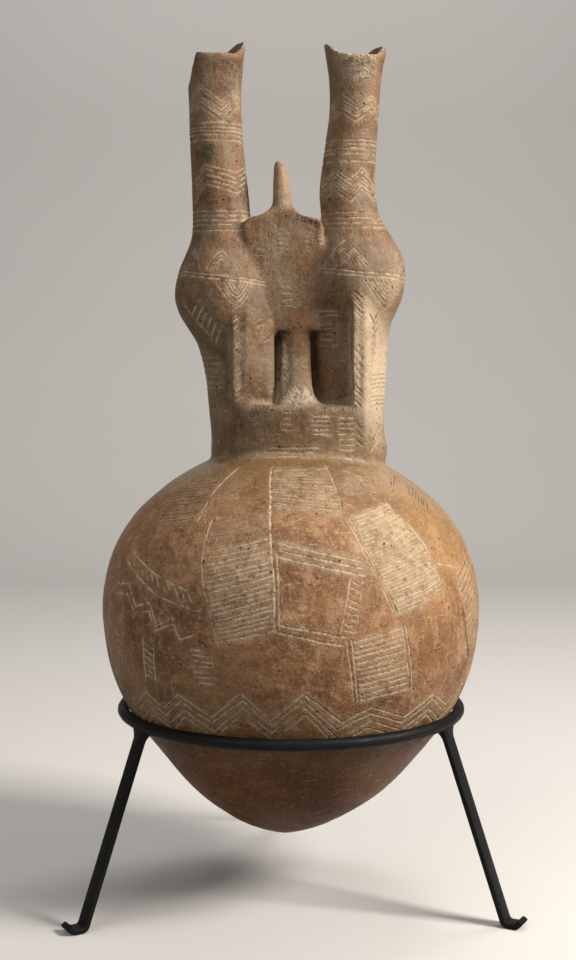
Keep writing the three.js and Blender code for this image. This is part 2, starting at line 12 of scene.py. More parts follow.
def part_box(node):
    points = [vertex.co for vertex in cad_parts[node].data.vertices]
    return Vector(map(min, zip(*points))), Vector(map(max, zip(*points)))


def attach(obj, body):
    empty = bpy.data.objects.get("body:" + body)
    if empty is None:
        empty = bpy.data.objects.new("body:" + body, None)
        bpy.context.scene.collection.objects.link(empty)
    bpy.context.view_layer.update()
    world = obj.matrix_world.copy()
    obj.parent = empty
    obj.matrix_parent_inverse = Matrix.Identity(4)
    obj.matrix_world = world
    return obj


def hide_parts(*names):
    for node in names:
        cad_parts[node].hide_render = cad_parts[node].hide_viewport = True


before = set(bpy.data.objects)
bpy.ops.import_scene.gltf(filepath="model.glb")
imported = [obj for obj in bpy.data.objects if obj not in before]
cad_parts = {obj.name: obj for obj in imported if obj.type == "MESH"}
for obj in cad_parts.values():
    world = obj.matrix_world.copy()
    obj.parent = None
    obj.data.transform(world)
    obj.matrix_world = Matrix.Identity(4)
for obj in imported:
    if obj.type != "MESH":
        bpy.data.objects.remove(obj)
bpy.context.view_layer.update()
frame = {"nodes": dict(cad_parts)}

bl_info = {
    "name": "Double-necked jug",
    "version": (1, 0, 0),
    "blender": (4, 5, 0),
    "location": "View3D > Sidebar > Jug",
    "description": "Models a double-necked clay jug and its iron ring stand over the packed solids",
    "category": "Add Mesh",
}

MM = 0.001
FAR = 0.6  # metres, past every side of the jug
SEED = 7  # of all that is drawn at random
TRIANGLE_LIMIT = 190_000  # for one piece
CREASE_ANGLE = math.radians(62)  # sharper edges stay crisp
PART_REACH = 2.2 * MM  # how far a member's cutter stands out of its clay
OUTLINE_POINTS = 260  # along the side of the body
NECK_FOOT = -18 * MM  # lower end of each neck, under the body's crown
HAMMER_MARKS = 14 * MM  # grain of the hammered iron

# The jug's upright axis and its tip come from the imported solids
RING_LOW, RING_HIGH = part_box("stand_ring")
AXIS_X = (RING_LOW.x + RING_HIGH.x) / 2
AXIS_Y = (RING_LOW.y + RING_HIGH.y) / 2
AXIS = np.array([AXIS_X, AXIS_Y, 0])
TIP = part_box("body_bowl")[0].z


def length(name, description, millimetres):
    """A size in the sidebar, in metres, with its default in millimetres."""
    return bpy.props.FloatProperty(
        name=name, description=description, default=millimetres * MM, unit="LENGTH", precision=5
    )


def places(name, description, millimetres):
    """Several sizes of one kind in the sidebar."""
    return bpy.props.FloatVectorProperty(
        name=name, description=description, size=len(millimetres),
        default=[value * MM for value in millimetres], unit="LENGTH", precision=5,
    )


def angle(name, description, degrees):
    """An angle in the sidebar, with its default in degrees."""
    return bpy.props.FloatProperty(
        name=name, description=description, default=math.radians(degrees), subtype="ANGLE"
    )


def colour(name, description, rgb):
    """A colour in the sidebar, in linear light."""
    return bpy.props.FloatVectorProperty(
        name=name, description=description, size=4, subtype="COLOR", min=0, max=1, default=(*rgb, 1)
    )


class JugBodySizes(bpy.types.PropertyGroup):
    """Sizes of the round body."""

    girth_radius: length("Girth radius", "Radius at the widest level", 130.7)
    girth_height: length("Girth height", "Widest level above the tip", 155.6)
    height: length("Height", "Crown of the body above its tip", 275)
    wall: length("Wall", "Thickness of the clay", 7)


class JugNeckSizes(bpy.types.PropertyGroup):
    """Sizes of both necks, with heights above the crown of the body."""

    wall: length("Wall", "Thickness of the clay", 6.5)
    stem_radius: length("Stem radius", "Lower length of a neck", 26)
    bulb_radius: length("Bulb radius", "Swollen length of a neck", 33)
    bulb_length: length("Bulb length", "Height of the swollen length", 71)
    tube_radius: length("Tube radius", "Upper length of a neck", 19.4)
    throat_radius: length("Throat radius", "Narrowest level under the mouth", 16.9)
    lip_radius: length("Lip radius", "Edge of the mouth", 21.2)
    lip_wall: length("Lip wall", "Thickness of the edge of the mouth", 3)
    mouth_length: length("Mouth length", "Flared length under the rim", 20)
    rim_height: length("Rim height", "Middle of the rim", 269)
    rim_peaks: places("Rim peaks", "Rise of the left and right rim at its sides", (6.6, 2.9))
    rim_dips: places("Rim dips", "Fall of the left and right rim at the front and back", (5.5, 6.5))
    rim_turn: angle("Rim turn", "Turn of the right peak of each rim to the back", 27)
    left_line: places("Left line", "Left neck sideways, from foot to mouth", (-29, -35, -46.5, -47.8, -51.8))
    right_line: places("Right line", "Right neck sideways, from foot to mouth", (38, 40.5, 45, 38.5, 43.2))
    tube_spare: places("Tube spare", "Added to the radius of the left and right tube", (0.9, 0.2))
    left_bulb: length("Left bulb", "Middle of the left bulb", 103)
    right_bulb: length("Right bulb", "Middle of the right bulb", 115)


class JugFrameSizes(bpy.types.PropertyGroup):
    """Sizes of the members between the necks, with heights above the crown of the body."""

    panel_underside: length("Panel underside", "Lower edge of the upper panel", 77.5)
    panel_corner: length("Panel corner", "Shoulders of the upper panel", 152)
    panel_top: length("Panel top", "Foot of the horn", 162)
    panel_width: length("Panel width", "Upper panel from side to side", 54)
    panel_front: length("Panel front", "Front of the upper panel", -20)
    panel_thickness: length("Panel thickness", "Upper panel from front to back", 18)
    panel_middle: length("Panel middle", "Middle of the upper panel", -5)
    web_thickness: length("Web thickness", "Thinner clay below the panel", 8)
    web_back: length("Web back", "Back of that thinner clay", 1.5)
    horn_length: length("Horn length", "Horn above the panel", 30.5)
    horn_width: length("Horn width", "Horn just above the panel", 13.6)
    sill_height: length("Sill height", "Top of the lower panel", 28)
    sill_radius: length("Sill radius", "Bend of the lower panel in plan", 86)
    sill_width: length("Sill width", "Lower panel from side to side", 85)
    sill_front: length("Sill front", "Front of the lower panel", -44)
    sill_depth: length("Sill depth", "Lower panel from front to back", 28)
    sill_middle: length("Sill middle", "Middle of the lower panel", 4)
    post_width: length("Post width", "Foot of the post", 20.6)
    post_top: length("Post top", "Width of the post under the panel", 20)
    post_front: length("Post front", "Front of the post at its foot", -41)
    post_thickness: length("Post thickness", "Post from front to back", 13)
    post_middle: length("Post middle", "Middle of the post", 3.3)
    strap_front: length("Strap front", "Ridge of each strap", -36)
    strap_bevels: places("Strap bevels", "Notched left side of each strap", (9, 7))
    flank_end: length("Flank end", "Inner end of the left strap's broad side", -11.5)
    strap_ridges: places("Strap ridges", "Left and right ridge, sideways", (-30.6, 48.4))
    handle_width: length("Handle width", "Handle from side to side", 20)
    handle_thickness: length("Handle thickness", "Handle from front to back", 10)
    handle_reach: length("Handle reach", "Back of the handle behind the axis", 97)
    handle_middle: length("Handle middle", "Middle of the handle, sideways", -1)


class JugClaySettings(bpy.types.PropertyGroup):
    """Surface of the clay: how it is worked and its colours."""

    grain: length("Mesh grain", "Cell of the clay skin", 1.5)
    unevenness: length("Unevenness", "Hand-made waves of the surface", 1.5)
    groove_depth: length("Groove depth", "Depth of an incised line", 0.55)
    groove_width: length("Groove width", "Half the width of an incised line", 0.62)
    slip: colour("Slip", "Main colour of the burnished slip", (0.300, 0.150, 0.068))
    slip_dark: colour("Dark slip", "Smoked and worn patches", (0.135, 0.062, 0.028))
    slip_pale: colour("Pale slip", "Patches fired pale", (0.450, 0.270, 0.145))
    # Golden slip: the burnished shoulder's colour, partly a painted sheen under the necks and painted light on the
    # right shoulder
    golden_sheen: colour("Golden slip", "Glossy shoulder under the necks", (0.370, 0.215, 0.080))
    dust: colour("Dust", "Weathering, mostly on the necks", (0.240, 0.180, 0.128))
    lime: colour("Lime", "White filling of the incised lines", (0.600, 0.470, 0.320))
    # Neck tint: darkening up the necks and onto the shoulder, partly the necks' own duller slip and partly painted
    # shade for light that falls off up the necks
    neck: colour("Neck tint", "Darkening of the slip on the necks", (0.500, 0.535, 0.545))
    # Bowl tint: painted shade, darkening the slip of the underside below the ring, which faces away from the lamps
    bowl_shade: colour("Bowl tint", "Darkening of the slip under the ring", (0.715, 0.510, 0.262))
    # The bloom colour also paints pale upright streaks on the upper tubes as painted highlights
    bloom: colour("Bloom", "Pale bloom round the lines", (0.450, 0.355, 0.240))
    ruddy: colour("Ruddy slip", "Streaks of burnished slip on the tubes", (0.230, 0.112, 0.050))
    wash: colour("Wash", "Pale wash on the necks, the shoulder and the horn", (0.580, 0.450, 0.310))
    crust: colour("Crust", "Pale crust in the hollows", (0.500, 0.410, 0.295))
    stain: colour("Stain", "Dark stain on the left tube and mouth", (0.050, 0.048, 0.030))
    grit: colour("Grit", "Dark grit in the clay", (0.030, 0.020, 0.014))


class JugStandSizes(bpy.types.PropertyGroup):
    """Sizes and colour of the iron stand."""

    ring_radius: length("Ring radius", "Middle of the ring's rod", 117)
    ring_height: length("Ring height", "Middle of the rod above the floor", 131.4)
    rod: length("Rod", "Diameter of the ring's rod", 8)
    bar_width: length("Bar width", "Width of each leg", 12)
    bar_thickness: length("Bar thickness", "Thickness of each leg", 4)
    splay: angle("Splay", "Lean of each leg", 19.5)
    turn: angle("Turn", "Turn of the stand about the jug", 2)
    bend: length("Bend", "Radius of the bends at the foot", 4)
    pad: length("Pad", "Flat length of each foot", 4)
    toe: length("Toe", "Straight end of each turned-up toe", 2.5)
    iron: colour("Iron", "Black finish of the iron", (0.006, 0.006, 0.006))
    worn_iron: colour("Worn iron", "Rubbed edges and scale", (0.013, 0.013, 0.013))


class JugStageSettings(bpy.types.PropertyGroup):
    """Floor, backdrop, lamps and camera."""

    paper: colour("Paper", "Pale floor and backdrop", (0.58, 0.565, 0.55))
    distance: length("Camera distance", "Camera in front of the jug's axis", 1110)
    eye: length("Camera height", "Camera above the floor", 376.5)
    key: bpy.props.FloatProperty(
        name="Key lamp", description="Power of the key lamp", default=42, unit="POWER"
    )


class JugSettings(bpy.types.PropertyGroup):
    """All settings of the jug."""

    body: bpy.props.PointerProperty(type=JugBodySizes)
    neck: bpy.props.PointerProperty(type=JugNeckSizes)
    frame: bpy.props.PointerProperty(type=JugFrameSizes)
    clay: bpy.props.PointerProperty(type=JugClaySettings)
    stand: bpy.props.PointerProperty(type=JugStandSizes)
    stage: bpy.props.PointerProperty(type=JugStageSettings)


def settings():
    """The jug's settings in this scene."""
    return bpy.context.scene.jug


# ---------------------------------------------------------------- working with meshes


def deselect():
    """Leaves edit mode and selects nothing."""
    if bpy.context.object and bpy.context.object.mode != "OBJECT":
        bpy.ops.object.mode_set(mode="OBJECT")
    bpy.ops.object.select_all(action="DESELECT")


def activate(obj):
    """Selects one object alone and makes it the active one."""
    deselect()
    obj.select_set(True)
    bpy.context.view_layer.objects.active = obj


def added(name):
    """Names the object that an operator has just added."""
    obj = bpy.context.object
    obj.name = name
    obj.data.name = name
    return obj


@contextlib.contextmanager
def editing(action=None):
    """Edit mode on the active object, with all or nothing selected if asked."""
    bpy.ops.object.mode_set(mode="EDIT")
    if action:
        bpy.ops.mesh.select_all(action=action)
    yield
    bpy.ops.object.mode_set(mode="OBJECT")


def values_of(items, key, width=1, kind=np.float32):
    """One property of many items, as a row or as rows of some width."""
    flat = np.empty(len(items) * width, kind)
    items.foreach_get(key, flat)
    return flat.reshape(-1, width) if width > 1 else flat


def points_of(mesh):
    """Coordinates of a mesh as rows."""
    return values_of(mesh.vertices, "co", 3, float)


def normals_of(mesh):
    """Vertex normals of a mesh as rows."""
    return values_of(mesh.vertex_normals, "vector", 3).astype(float)


def tree_of(points):
    """A tree that finds the nearest of some points."""
    tree = kdtree.KDTree(len(points))
    for i, point in enumerate(points):
        tree.insert(point, i)
    tree.balance()
    return tree


def directions(path):
    """Unit steps along a path."""
    way = np.gradient(path, axis=0)
    return way / np.maximum(np.linalg.norm(way, axis=1), 1e-9)[:, None]


def move_points(mesh, points):
    """Gives a mesh new coordinates."""
    mesh.vertices.foreach_set("co", np.ascontiguousarray(points).ravel())
    mesh.update()


def apply_modifier(obj, kind, **values):
    """Adds a modifier, sets it and applies it."""
    activate(obj)
    modifier = obj.modifiers.new(kind.title(), kind)
    for key, value in values.items():
        setattr(modifier, key, value)
    bpy.ops.object.modifier_apply(modifier=modifier.name)


def roughen(obj, grain, strength, middle=0.5, depth=2, group=""):
    """Moves a surface in and out by clouds of one grain."""
    clouds = bpy.data.textures.new("clouds", "CLOUDS")
    clouds.noise_scale, clouds.noise_depth = grain, depth
    apply_modifier(
        obj, "DISPLACE", texture=clouds, strength=strength, mid_level=middle,
        texture_coords="LOCAL", vertex_group=group,
    )
    bpy.data.textures.remove(clouds)


def cut(obj, solid, operation):
    """Joins or cuts an object with another solid."""
    apply_modifier(obj, "BOOLEAN", object=solid, operation=operation, solver="MANIFOLD")


def copy_of(obj, name):
    """A copy with its own mesh."""
    twin = obj.copy()
    twin.data = obj.data.copy()
    twin.name = twin.data.name = name
    bpy.context.scene.collection.objects.link(twin)
    return twin


def discard(*objs):
    """Removes helper objects."""
    for obj in objs:
        bpy.data.objects.remove(obj)


def thinned(obj):
    """The object, with fewer triangles if it has too many; sorted first, so that each run agrees."""
    obj.data.calc_loop_triangles()
    count = len(obj.data.loop_triangles)
    if count > TRIANGLE_LIMIT:
        apply_modifier(obj, "TRIANGULATE", quad_method="SHORTEST_DIAGONAL")
        with editing("SELECT"):
            bpy.ops.mesh.sort_elements(type="CURSOR_DISTANCE", elements={"VERT", "EDGE", "FACE"})
        apply_modifier(obj, "DECIMATE", ratio=TRIANGLE_LIMIT / count)
        with editing("SELECT"):
            bpy.ops.mesh.dissolve_degenerate(threshold=2e-6)
    return obj


def without_crumbs(obj):
    """The largest bit of an object, without the crumbs that cuts leave beside it."""
    name = obj.name
    activate(obj)
    bpy.ops.mesh.separate(type="LOOSE")
    *crumbs, whole = sorted(bpy.context.selected_objects, key=lambda bit: len(bit.data.vertices))
    discard(*crumbs)
    whole.name = whole.data.name = name
    return whole


def outward(obj):
    """Merges doubles and turns the faces outward."""
    activate(obj)
    with editing("SELECT"):
        bpy.ops.mesh.remove_doubles(threshold=1e-6)
        bpy.ops.mesh.normals_make_consistent(inside=False)
    return obj


def write_mask(mesh, name, values):
    """Stores one value for each vertex, for a material to read."""
    layer = mesh.attributes.get(name) or mesh.attributes.new(name, "FLOAT", "POINT")
    layer.data.foreach_set("value", np.asarray(values, np.float32))


class Masks:
    """The masks of a skin, to give back to the vertices that a cut makes."""

    names = ("lime", "haze", "groove_shade", "ridge", "crust", "wash")

    def __init__(self, mesh):
        self.values = [self.read(mesh, name) for name in self.names]
        self.tree = tree_of(points_of(mesh))

    @staticmethod
    def read(mesh, name):
        """One mask as a row of values."""
        return values_of(mesh.attributes[name].data, "value")

    def mend(self, mesh):
        """Gives each new vertex of a piece the masks of the nearest old one."""
        places_now = points_of(mesh)
        new = np.flatnonzero(self.read(mesh, "ridge") == 0)
        near = np.array([self.tree.find(places_now[i])[1] for i in new], int)
        for name, values in zip(self.names, self.values):
            now = self.read(mesh, name)
            now[new] = values[near]
            write_mask(mesh, name, now)


def weigh(obj, name, weights):
    """A vertex group with a weight for each vertex."""
    group = obj.vertex_groups.new(name=name)
    weights = np.round(weights, 2)
    for share in np.unique(weights[weights > 0]):
        group.add(np.flatnonzero(weights == share).tolist(), float(share), "REPLACE")


def mean_of_neighbours(values, edges):
    """Mean of the values at the far ends of each vertex's edges."""
    count = len(values)
    ends = np.concatenate([edges[:, 0], edges[:, 1]])
    others = np.concatenate([edges[:, 1], edges[:, 0]])
    number = np.maximum(np.bincount(ends, minlength=count), 1)
    columns = values.reshape(count, -1)
    sums = [np.bincount(ends, weights=column[others], minlength=count) for column in columns.T]
    return (np.array(sums) / number).T.reshape(values.shape)


def ease(low, high, values):
    """Smooth step from 0 at low to 1 at high."""
    share = np.clip((np.asarray(values, float) - low) / (high - low), 0, 1)
    return share * share * (3 - 2 * share)


# ---------------------------------------------------------------- shapes of clay


def body_outline(outward_by=0.0):
    """Radius and height above the tip along the body's side, from its tip to its crown."""
    size = settings().body
    rise = size.height - size.girth_height
    lower = [(0, 0), (0.18, 0.056), (0.345, 0.137), (0.528, 0.26), (0.712, 0.426), (0.857, 0.588), (0.955, 0.776)]
    upper = [
        (1, 0), (0.979, 0.243), (0.914, 0.452), (0.811, 0.62), (0.635, 0.785), (0.45, 0.902), (0.225, 0.975), (0, 1)
    ]
    knots = np.array(
        [(r * size.girth_radius, z * size.girth_height) for r, z in lower]
        + [(r * size.girth_radius, size.girth_height + z * rise) for r, z in upper]
    )
    place = np.linspace(0, len(knots) - 1, OUTLINE_POINTS)
    i = np.minimum(place.astype(int), len(knots) - 2)
    t = (place - i)[:, None]
    before, start = knots[np.maximum(i - 1, 0)], knots[i]
    end, after = knots[i + 1], knots[np.minimum(i + 2, len(knots) - 1)]
    leave, arrive = (end - before) / 2, (after - start) / 2
    line = (2 * start - 2 * end + leave + arrive) * t**3
    line += (3 * end - 3 * start - 2 * leave - arrive) * t**2 + leave * t + start
    along = directions(line)
    line = line + np.stack([along[:, 1], -along[:, 0]], 1) * outward_by
    line[0, 0] = line[-1, 0] = 0
    line[0, 1], line[-1, 1] = -outward_by, size.height + outward_by
    return line[np.concatenate([[True], line[1:-1, 0] > 0.5 * MM, [True]])]


def full_turn(count):
    """Evenly spread angles round a circle."""
    return np.linspace(0, 2 * math.pi, count, endpoint=False)


def smooth_value(knots, heights):
    """Smooth values at some heights through pairs of height and value."""
    z, value = np.array(knots).T
    heights = np.asarray(heights, float)
    i = np.clip(np.searchsorted(z, heights) - 1, 0, len(z) - 2)
    slope = np.concatenate([
        [(value[1] - value[0]) / (z[1] - z[0])],
        (value[2:] - value[:-2]) / (z[2:] - z[:-2]),
        [(value[-1] - value[-2]) / (z[-1] - z[-2])],
    ])
    span = z[i + 1] - z[i]
    t = np.clip((heights - z[i]) / span, 0, 1)
    rise = t * t * (3 - 2 * t)
    bend = t * (1 - t) ** 2 * slope[i] - t * t * (1 - t) * slope[i + 1]
    return value[i] + (value[i + 1] - value[i]) * rise + span * bend


class Neck:
    """Middle line and radius of one neck, with heights above the crown of the body."""

    def __init__(self, side):
        size = settings().neck
        foot, stem, bulb, tube, mouth = size.left_line if side == "left" else size.right_line
        middle = size.left_bulb if side == "left" else size.right_bulb
        long, start, lip = size.bulb_length, size.rim_height - size.mouth_length, size.mouth_length
        spare = size.tube_spare[side == "right"]
        wide, swell, slim = size.stem_radius, size.bulb_radius, size.tube_radius + spare
        throat = size.throat_radius + spare
        low = -wide * 0.77
        self.side = side
        self.mouth_start = start
        self.stem_top = middle - long * 0.437
        self.bulb_top = middle + long * 0.563
        self.sideways = [
            (low, foot), (wide * 0.2, foot), (middle * 0.55, stem), (middle - long * 0.085, bulb),
            (middle + long * 0.225, bulb), (middle + long * 0.817, tube), (start - lip, mouth),
            (size.rim_height + lip, mouth),
        ]
        self.radii = [
            (low, wide), (wide * 0.8, wide), (middle - long * 0.479, wide * 0.992),
            (middle - long * 0.352, wide * 0.335 + swell * 0.6), (middle - long * 0.197, swell * 0.97),
            (middle, swell), (middle + long * 0.197, swell * 0.94),
            (middle + long * 0.366, swell * 0.45 + slim * 0.55), (middle + long * 0.549, slim * 1.046),
            (middle + long * 0.845, slim * 0.974), (start - lip * 1.2, throat),
            (start, throat * 1.024), (size.rim_height, size.lip_radius),
        ]

    def x(self, heights):
        """Sideways place of the middle line."""
        return smooth_value(self.sideways, heights)

    def radius(self, heights):
        """Outside radius."""
        return smooth_value(self.radii, heights)


def crown():
    """Height of the body's crown above the floor."""
    return TIP + settings().body.height


def from_crown(points):
    """Places in the world given from the axis and the body's crown."""
    return np.asarray(points, float) + AXIS + [0, 0, crown()]


def to_crown(points):
    """Places from the axis and the body's crown given in the world."""
    return points - AXIS - [0, 0, crown()]


def turned_solid(name, profile, segments):
    """A ball whose rings are moved to the radius and height of each point of a profile, from low to high."""
    profile = np.asarray(profile, float)
    rings = len(profile) - 1
    deselect()
    bpy.ops.mesh.primitive_uv_sphere_add(segments=segments, ring_count=rings, radius=1)
    obj = added(name)
    ball = points_of(obj.data)
    ring = np.rint((1 - np.arccos(np.clip(ball[:, 2], -1, 1)) / math.pi) * rings).astype(int)
    across = np.hypot(ball[:, 0], ball[:, 1])
    reach = np.where(across > 1e-6, profile[ring, 0] / np.maximum(across, 1e-6), 0)
    move_points(obj.data, np.stack([ball[:, 0] * reach, ball[:, 1] * reach, profile[ring, 1]], 1))
    return obj


def body_solid(name, outward_by=0.0):
    """The filled body, grown or shrunk by a distance, its blunt tip a little to the left."""
    obj = turned_solid(name, body_outline(outward_by=outward_by), 160)
    points = points_of(obj.data)
    low = 1 - ease(0, 70 * MM, points[:, 2])
    points[:, :2] *= 1 + 0.09 * low[:, None]
    points[:, 0] -= 3 * MM * low
    move_points(obj.data, points + AXIS + [0, 0, TIP])
    return obj


def neck_solid(name, neck, heights, grow, saddle=True):
    """A filled neck between two heights, its radius changed by grow(heights)."""
    size = settings().neck
    radius = neck.radius(heights) + grow(heights)
    cap = [(radius[0] * share, heights[0]) for share in (0, 0.5, 0.9)]
    lid = [(radius[-1] * share, heights[-1]) for share in (0.9, 0.6, 0.3, 0)]
    obj = turned_solid(name, cap + list(zip(radius, heights)) + lid, 72)
    points = points_of(obj.data)
    x, y, z = points.T
    if saddle:
        share = ease(neck.mouth_start + 2 * MM, size.rim_height, z)
        away = np.maximum(np.hypot(x, y), 0.01 * MM)
        aside = np.maximum(x * math.cos(size.rim_turn) + y * math.sin(size.rim_turn), -x) / away
        peak, dip = (pair[neck.side == "right"] for pair in (size.rim_peaks, size.rim_dips))
        z = z + share * ((peak + dip) * np.clip(aside / 0.97, 0, 1) ** 3.2 - dip)
    move_points(obj.data, np.stack([x + neck.x(points[:, 2]), y, z + crown()], 1) + AXIS)
    return obj


def neck_heights(middle, high, below, above):
    """Heights from a neck's foot to its top, with a number of them below and above a level."""
    return np.concatenate([np.linspace(NECK_FOOT, middle, below), np.linspace(middle, high, above)[1:]])


def plate(name, outline, front, thickness):
    """A flat outline in front view, given its thickness towards the back."""
    deselect()
    bpy.ops.mesh.primitive_circle_add(vertices=len(outline), radius=1, fill_type="NGON")
    obj = added(name)
    move_points(obj.data, np.array([(x, front, crown() + z) for x, z in outline]) + AXIS)
    with editing("SELECT"):
        bpy.ops.mesh.extrude_region_move(TRANSFORM_OT_translate={"value": (0, thickness, 0)})
    return outward(obj)


def loft(name, rings):
    """A closed bar through rings of equally many points."""
    rings = np.asarray(rings, float)
    count, corners = rings.shape[:2]
    faces = [tuple(range(corners)), tuple(range((count - 1) * corners, count * corners))]
    for i in range(count - 1):
        for j in range(corners):
            a, b = i * corners + j, i * corners + (j + 1) % corners
            faces.append((a, b, b + corners, a + corners))
    mesh = bpy.data.meshes.new(name)
    mesh.from_pydata(rings.reshape(-1, 3).tolist(), [], faces)
    obj = bpy.data.objects.new(name, mesh)
    bpy.context.scene.collection.objects.link(obj)
    return outward(obj)


def block(name, low, high):
    """A box between two corners, in metres, with heights above the crown and depths from the axis."""
    low, high = np.array(low, float), np.array(high, float)
    deselect()
    bpy.ops.mesh.primitive_cube_add(size=1)
    obj = added(name)
    move_points(obj.data, points_of(obj.data) * (high - low) + from_crown((low + high) / 2))
    return obj


def smooth_path(knots, count):
    """Evenly many points on a smooth line through knots."""
    knots = np.array(knots, float)
    place = np.linspace(0, len(knots) - 1, count)
    return np.stack([smooth_value(list(zip(range(len(knots)), column)), place) for column in knots.T], 1)


# ---------------------------------------------------------------- members of the jug


def panel_members():
    """Upper panel with its raised edge and the thinner clay below it, and its horn."""
    size = settings().frame
    wide, middle = size.panel_width, size.panel_middle
    under, corner, top = size.panel_underside, size.panel_corner, size.panel_top
    high, rise, foot = corner - under, top - corner, size.horn_width / 2
    left_edge = [(-0.481 * wide, corner - 16 * MM), (-0.481 * wide, corner), (-0.24 * wide, corner + rise * 0.5)]
    left_edge += [(-foot * 1.15, top - rise * 0.1)]
    right_edge = [(foot, top - rise * 0.1), (0.204 * wide, corner + rise * 0.45), (0.47 * wide, corner)]
    right_edge += [(0.48 * wide, corner - 10 * MM), (0.47 * wide, corner - 19 * MM)]
    outline = [(-0.444 * wide, under), (0.76 * wide, under), (0.76 * wide, under + high * 0.22)]
    outline += right_edge[::-1] + left_edge[::-1] + [(-0.481 * wide, under + high * 0.22)]
    panel = plate(
        "upper_panel_clay", [(middle + x, z) for x, z in outline], size.panel_front, size.panel_thickness
    )
    edges = []
    for name, edge, proud in (("left_edge_clay", left_edge, 0.8), ("right_edge_clay", right_edge, 1.3)):
        path = smooth_path(edge, 30)
        rings = []
        for (x, z), (dx, dz), share in zip(path, directions(path), np.linspace(0, 1, len(path))):
            lift = proud * min(1, 5 * share, 5 * (1 - share))
            rings.append([
                (middle + x + dz * inward * MM, size.panel_front + deep * MM, z - dx * inward * MM)
                for inward, deep in ((0.2, 5), (0.2, -0.5 * lift), (1.2, -lift), (2.4, -lift), (3.6, 0.3), (3.6, 5))
            ])
        edges.append(loft(name, from_crown(rings)))
    web = block(
        "web_clay",
        (middle - 0.37 * wide, size.web_back - size.web_thickness, -8 * MM),
        (middle + 0.63 * wide, size.web_back, under + 10 * MM),
    )
    fillet = block(
        "fillet_clay",
        (middle - 0.72 * wide, size.panel_front + 2 * MM, corner - 36 * MM),
        (middle - 0.42 * wide, size.panel_front + size.panel_thickness, corner - 1.5 * MM),
    )
    rings = []
    turn = full_turn(20)
    for share, across, deep, shift in (
        (-0.22, 2.0, 1.35, -0.6), (-0.1, 1.4, 1.2, -0.9), (0, 1.06, 1.05, -1.1), (0.1, 0.95, 0.98, -1.2),
        (0.3, 0.87, 0.94, -1.4), (0.5, 0.79, 0.9, -1.8), (0.7, 0.69, 0.84, -2.3), (0.84, 0.61, 0.78, -2.7),
        (0.93, 0.52, 0.7, -2.9), (0.98, 0.4, 0.5, -3.0), (1, 0.22, 0.26, -3.0),
    ):
        x = middle + shift * MM + size.horn_width / 2 * across * np.cos(turn)
        y = size.panel_front + 7.5 * MM + 6 * MM * deep * np.sin(turn)
        rings.append(np.stack([x, y, np.full(20, top + size.horn_length * share)], 1))
    horn = loft("horn_clay", from_crown(rings))
    return [panel, *edges, web, fillet, horn]


def sill_member():
    """Lower panel, bent round the front of the stems."""
    size = settings().frame
    back = size.sill_front + size.sill_radius
    half = math.asin(size.sill_width / 2 / size.sill_radius)
    rings = []
    for turn in np.linspace(-half, half, 40):
        across, ahead = math.sin(turn), -math.cos(turn)
        ring = []
        for radius, z in (
            (size.sill_radius, -30 * MM), (size.sill_radius, size.sill_height - 1.5 * MM),
            (size.sill_radius - 1.5 * MM, size.sill_height), (size.sill_radius - size.sill_depth, size.sill_height),
            (size.sill_radius - size.sill_depth, -30 * MM),
        ):
            ring.append((size.sill_middle + across * radius, back + ahead * radius, crown() + z))
        rings.append(ring)
    return loft("sill_clay", np.array(rings) + AXIS)


def post_member():
    """Post that leans back from the lower panel to under the upper one, spread at its foot."""
    size = settings().frame
    low, high = size.sill_height - 6 * MM, size.panel_underside + 6 * MM
    rings = []
    for share in np.linspace(0, 1, 16):
        z = low + (high - low) * share
        front = size.post_front + (z - size.sill_height) * 0.47
        half = (size.post_width * (1 - share) + size.post_top * share) / 2
        spread = 7 * MM * math.exp(-max(z - size.sill_height, 0) / (6 * MM))
        left, right = size.post_middle - half - spread * 0.3, size.post_middle + half + spread
        back = min(front + size.post_thickness + 8 * MM, size.web_back - 2.5 * MM)
        rings.append([
            (left - 8 * MM, back, z), (left - 8 * MM, front + 14 * MM, z), (left, front + 13 * MM, z),
            (left, front + 5 * MM, z), (left + 8 * MM, front, z),
            (right - 6 * MM, front, z), (right - 1.5 * MM, front + 1.8 * MM, z), (right, front + 5 * MM, z),
            (right, back, z),
        ])
    return loft("post_clay", from_crown(rings))


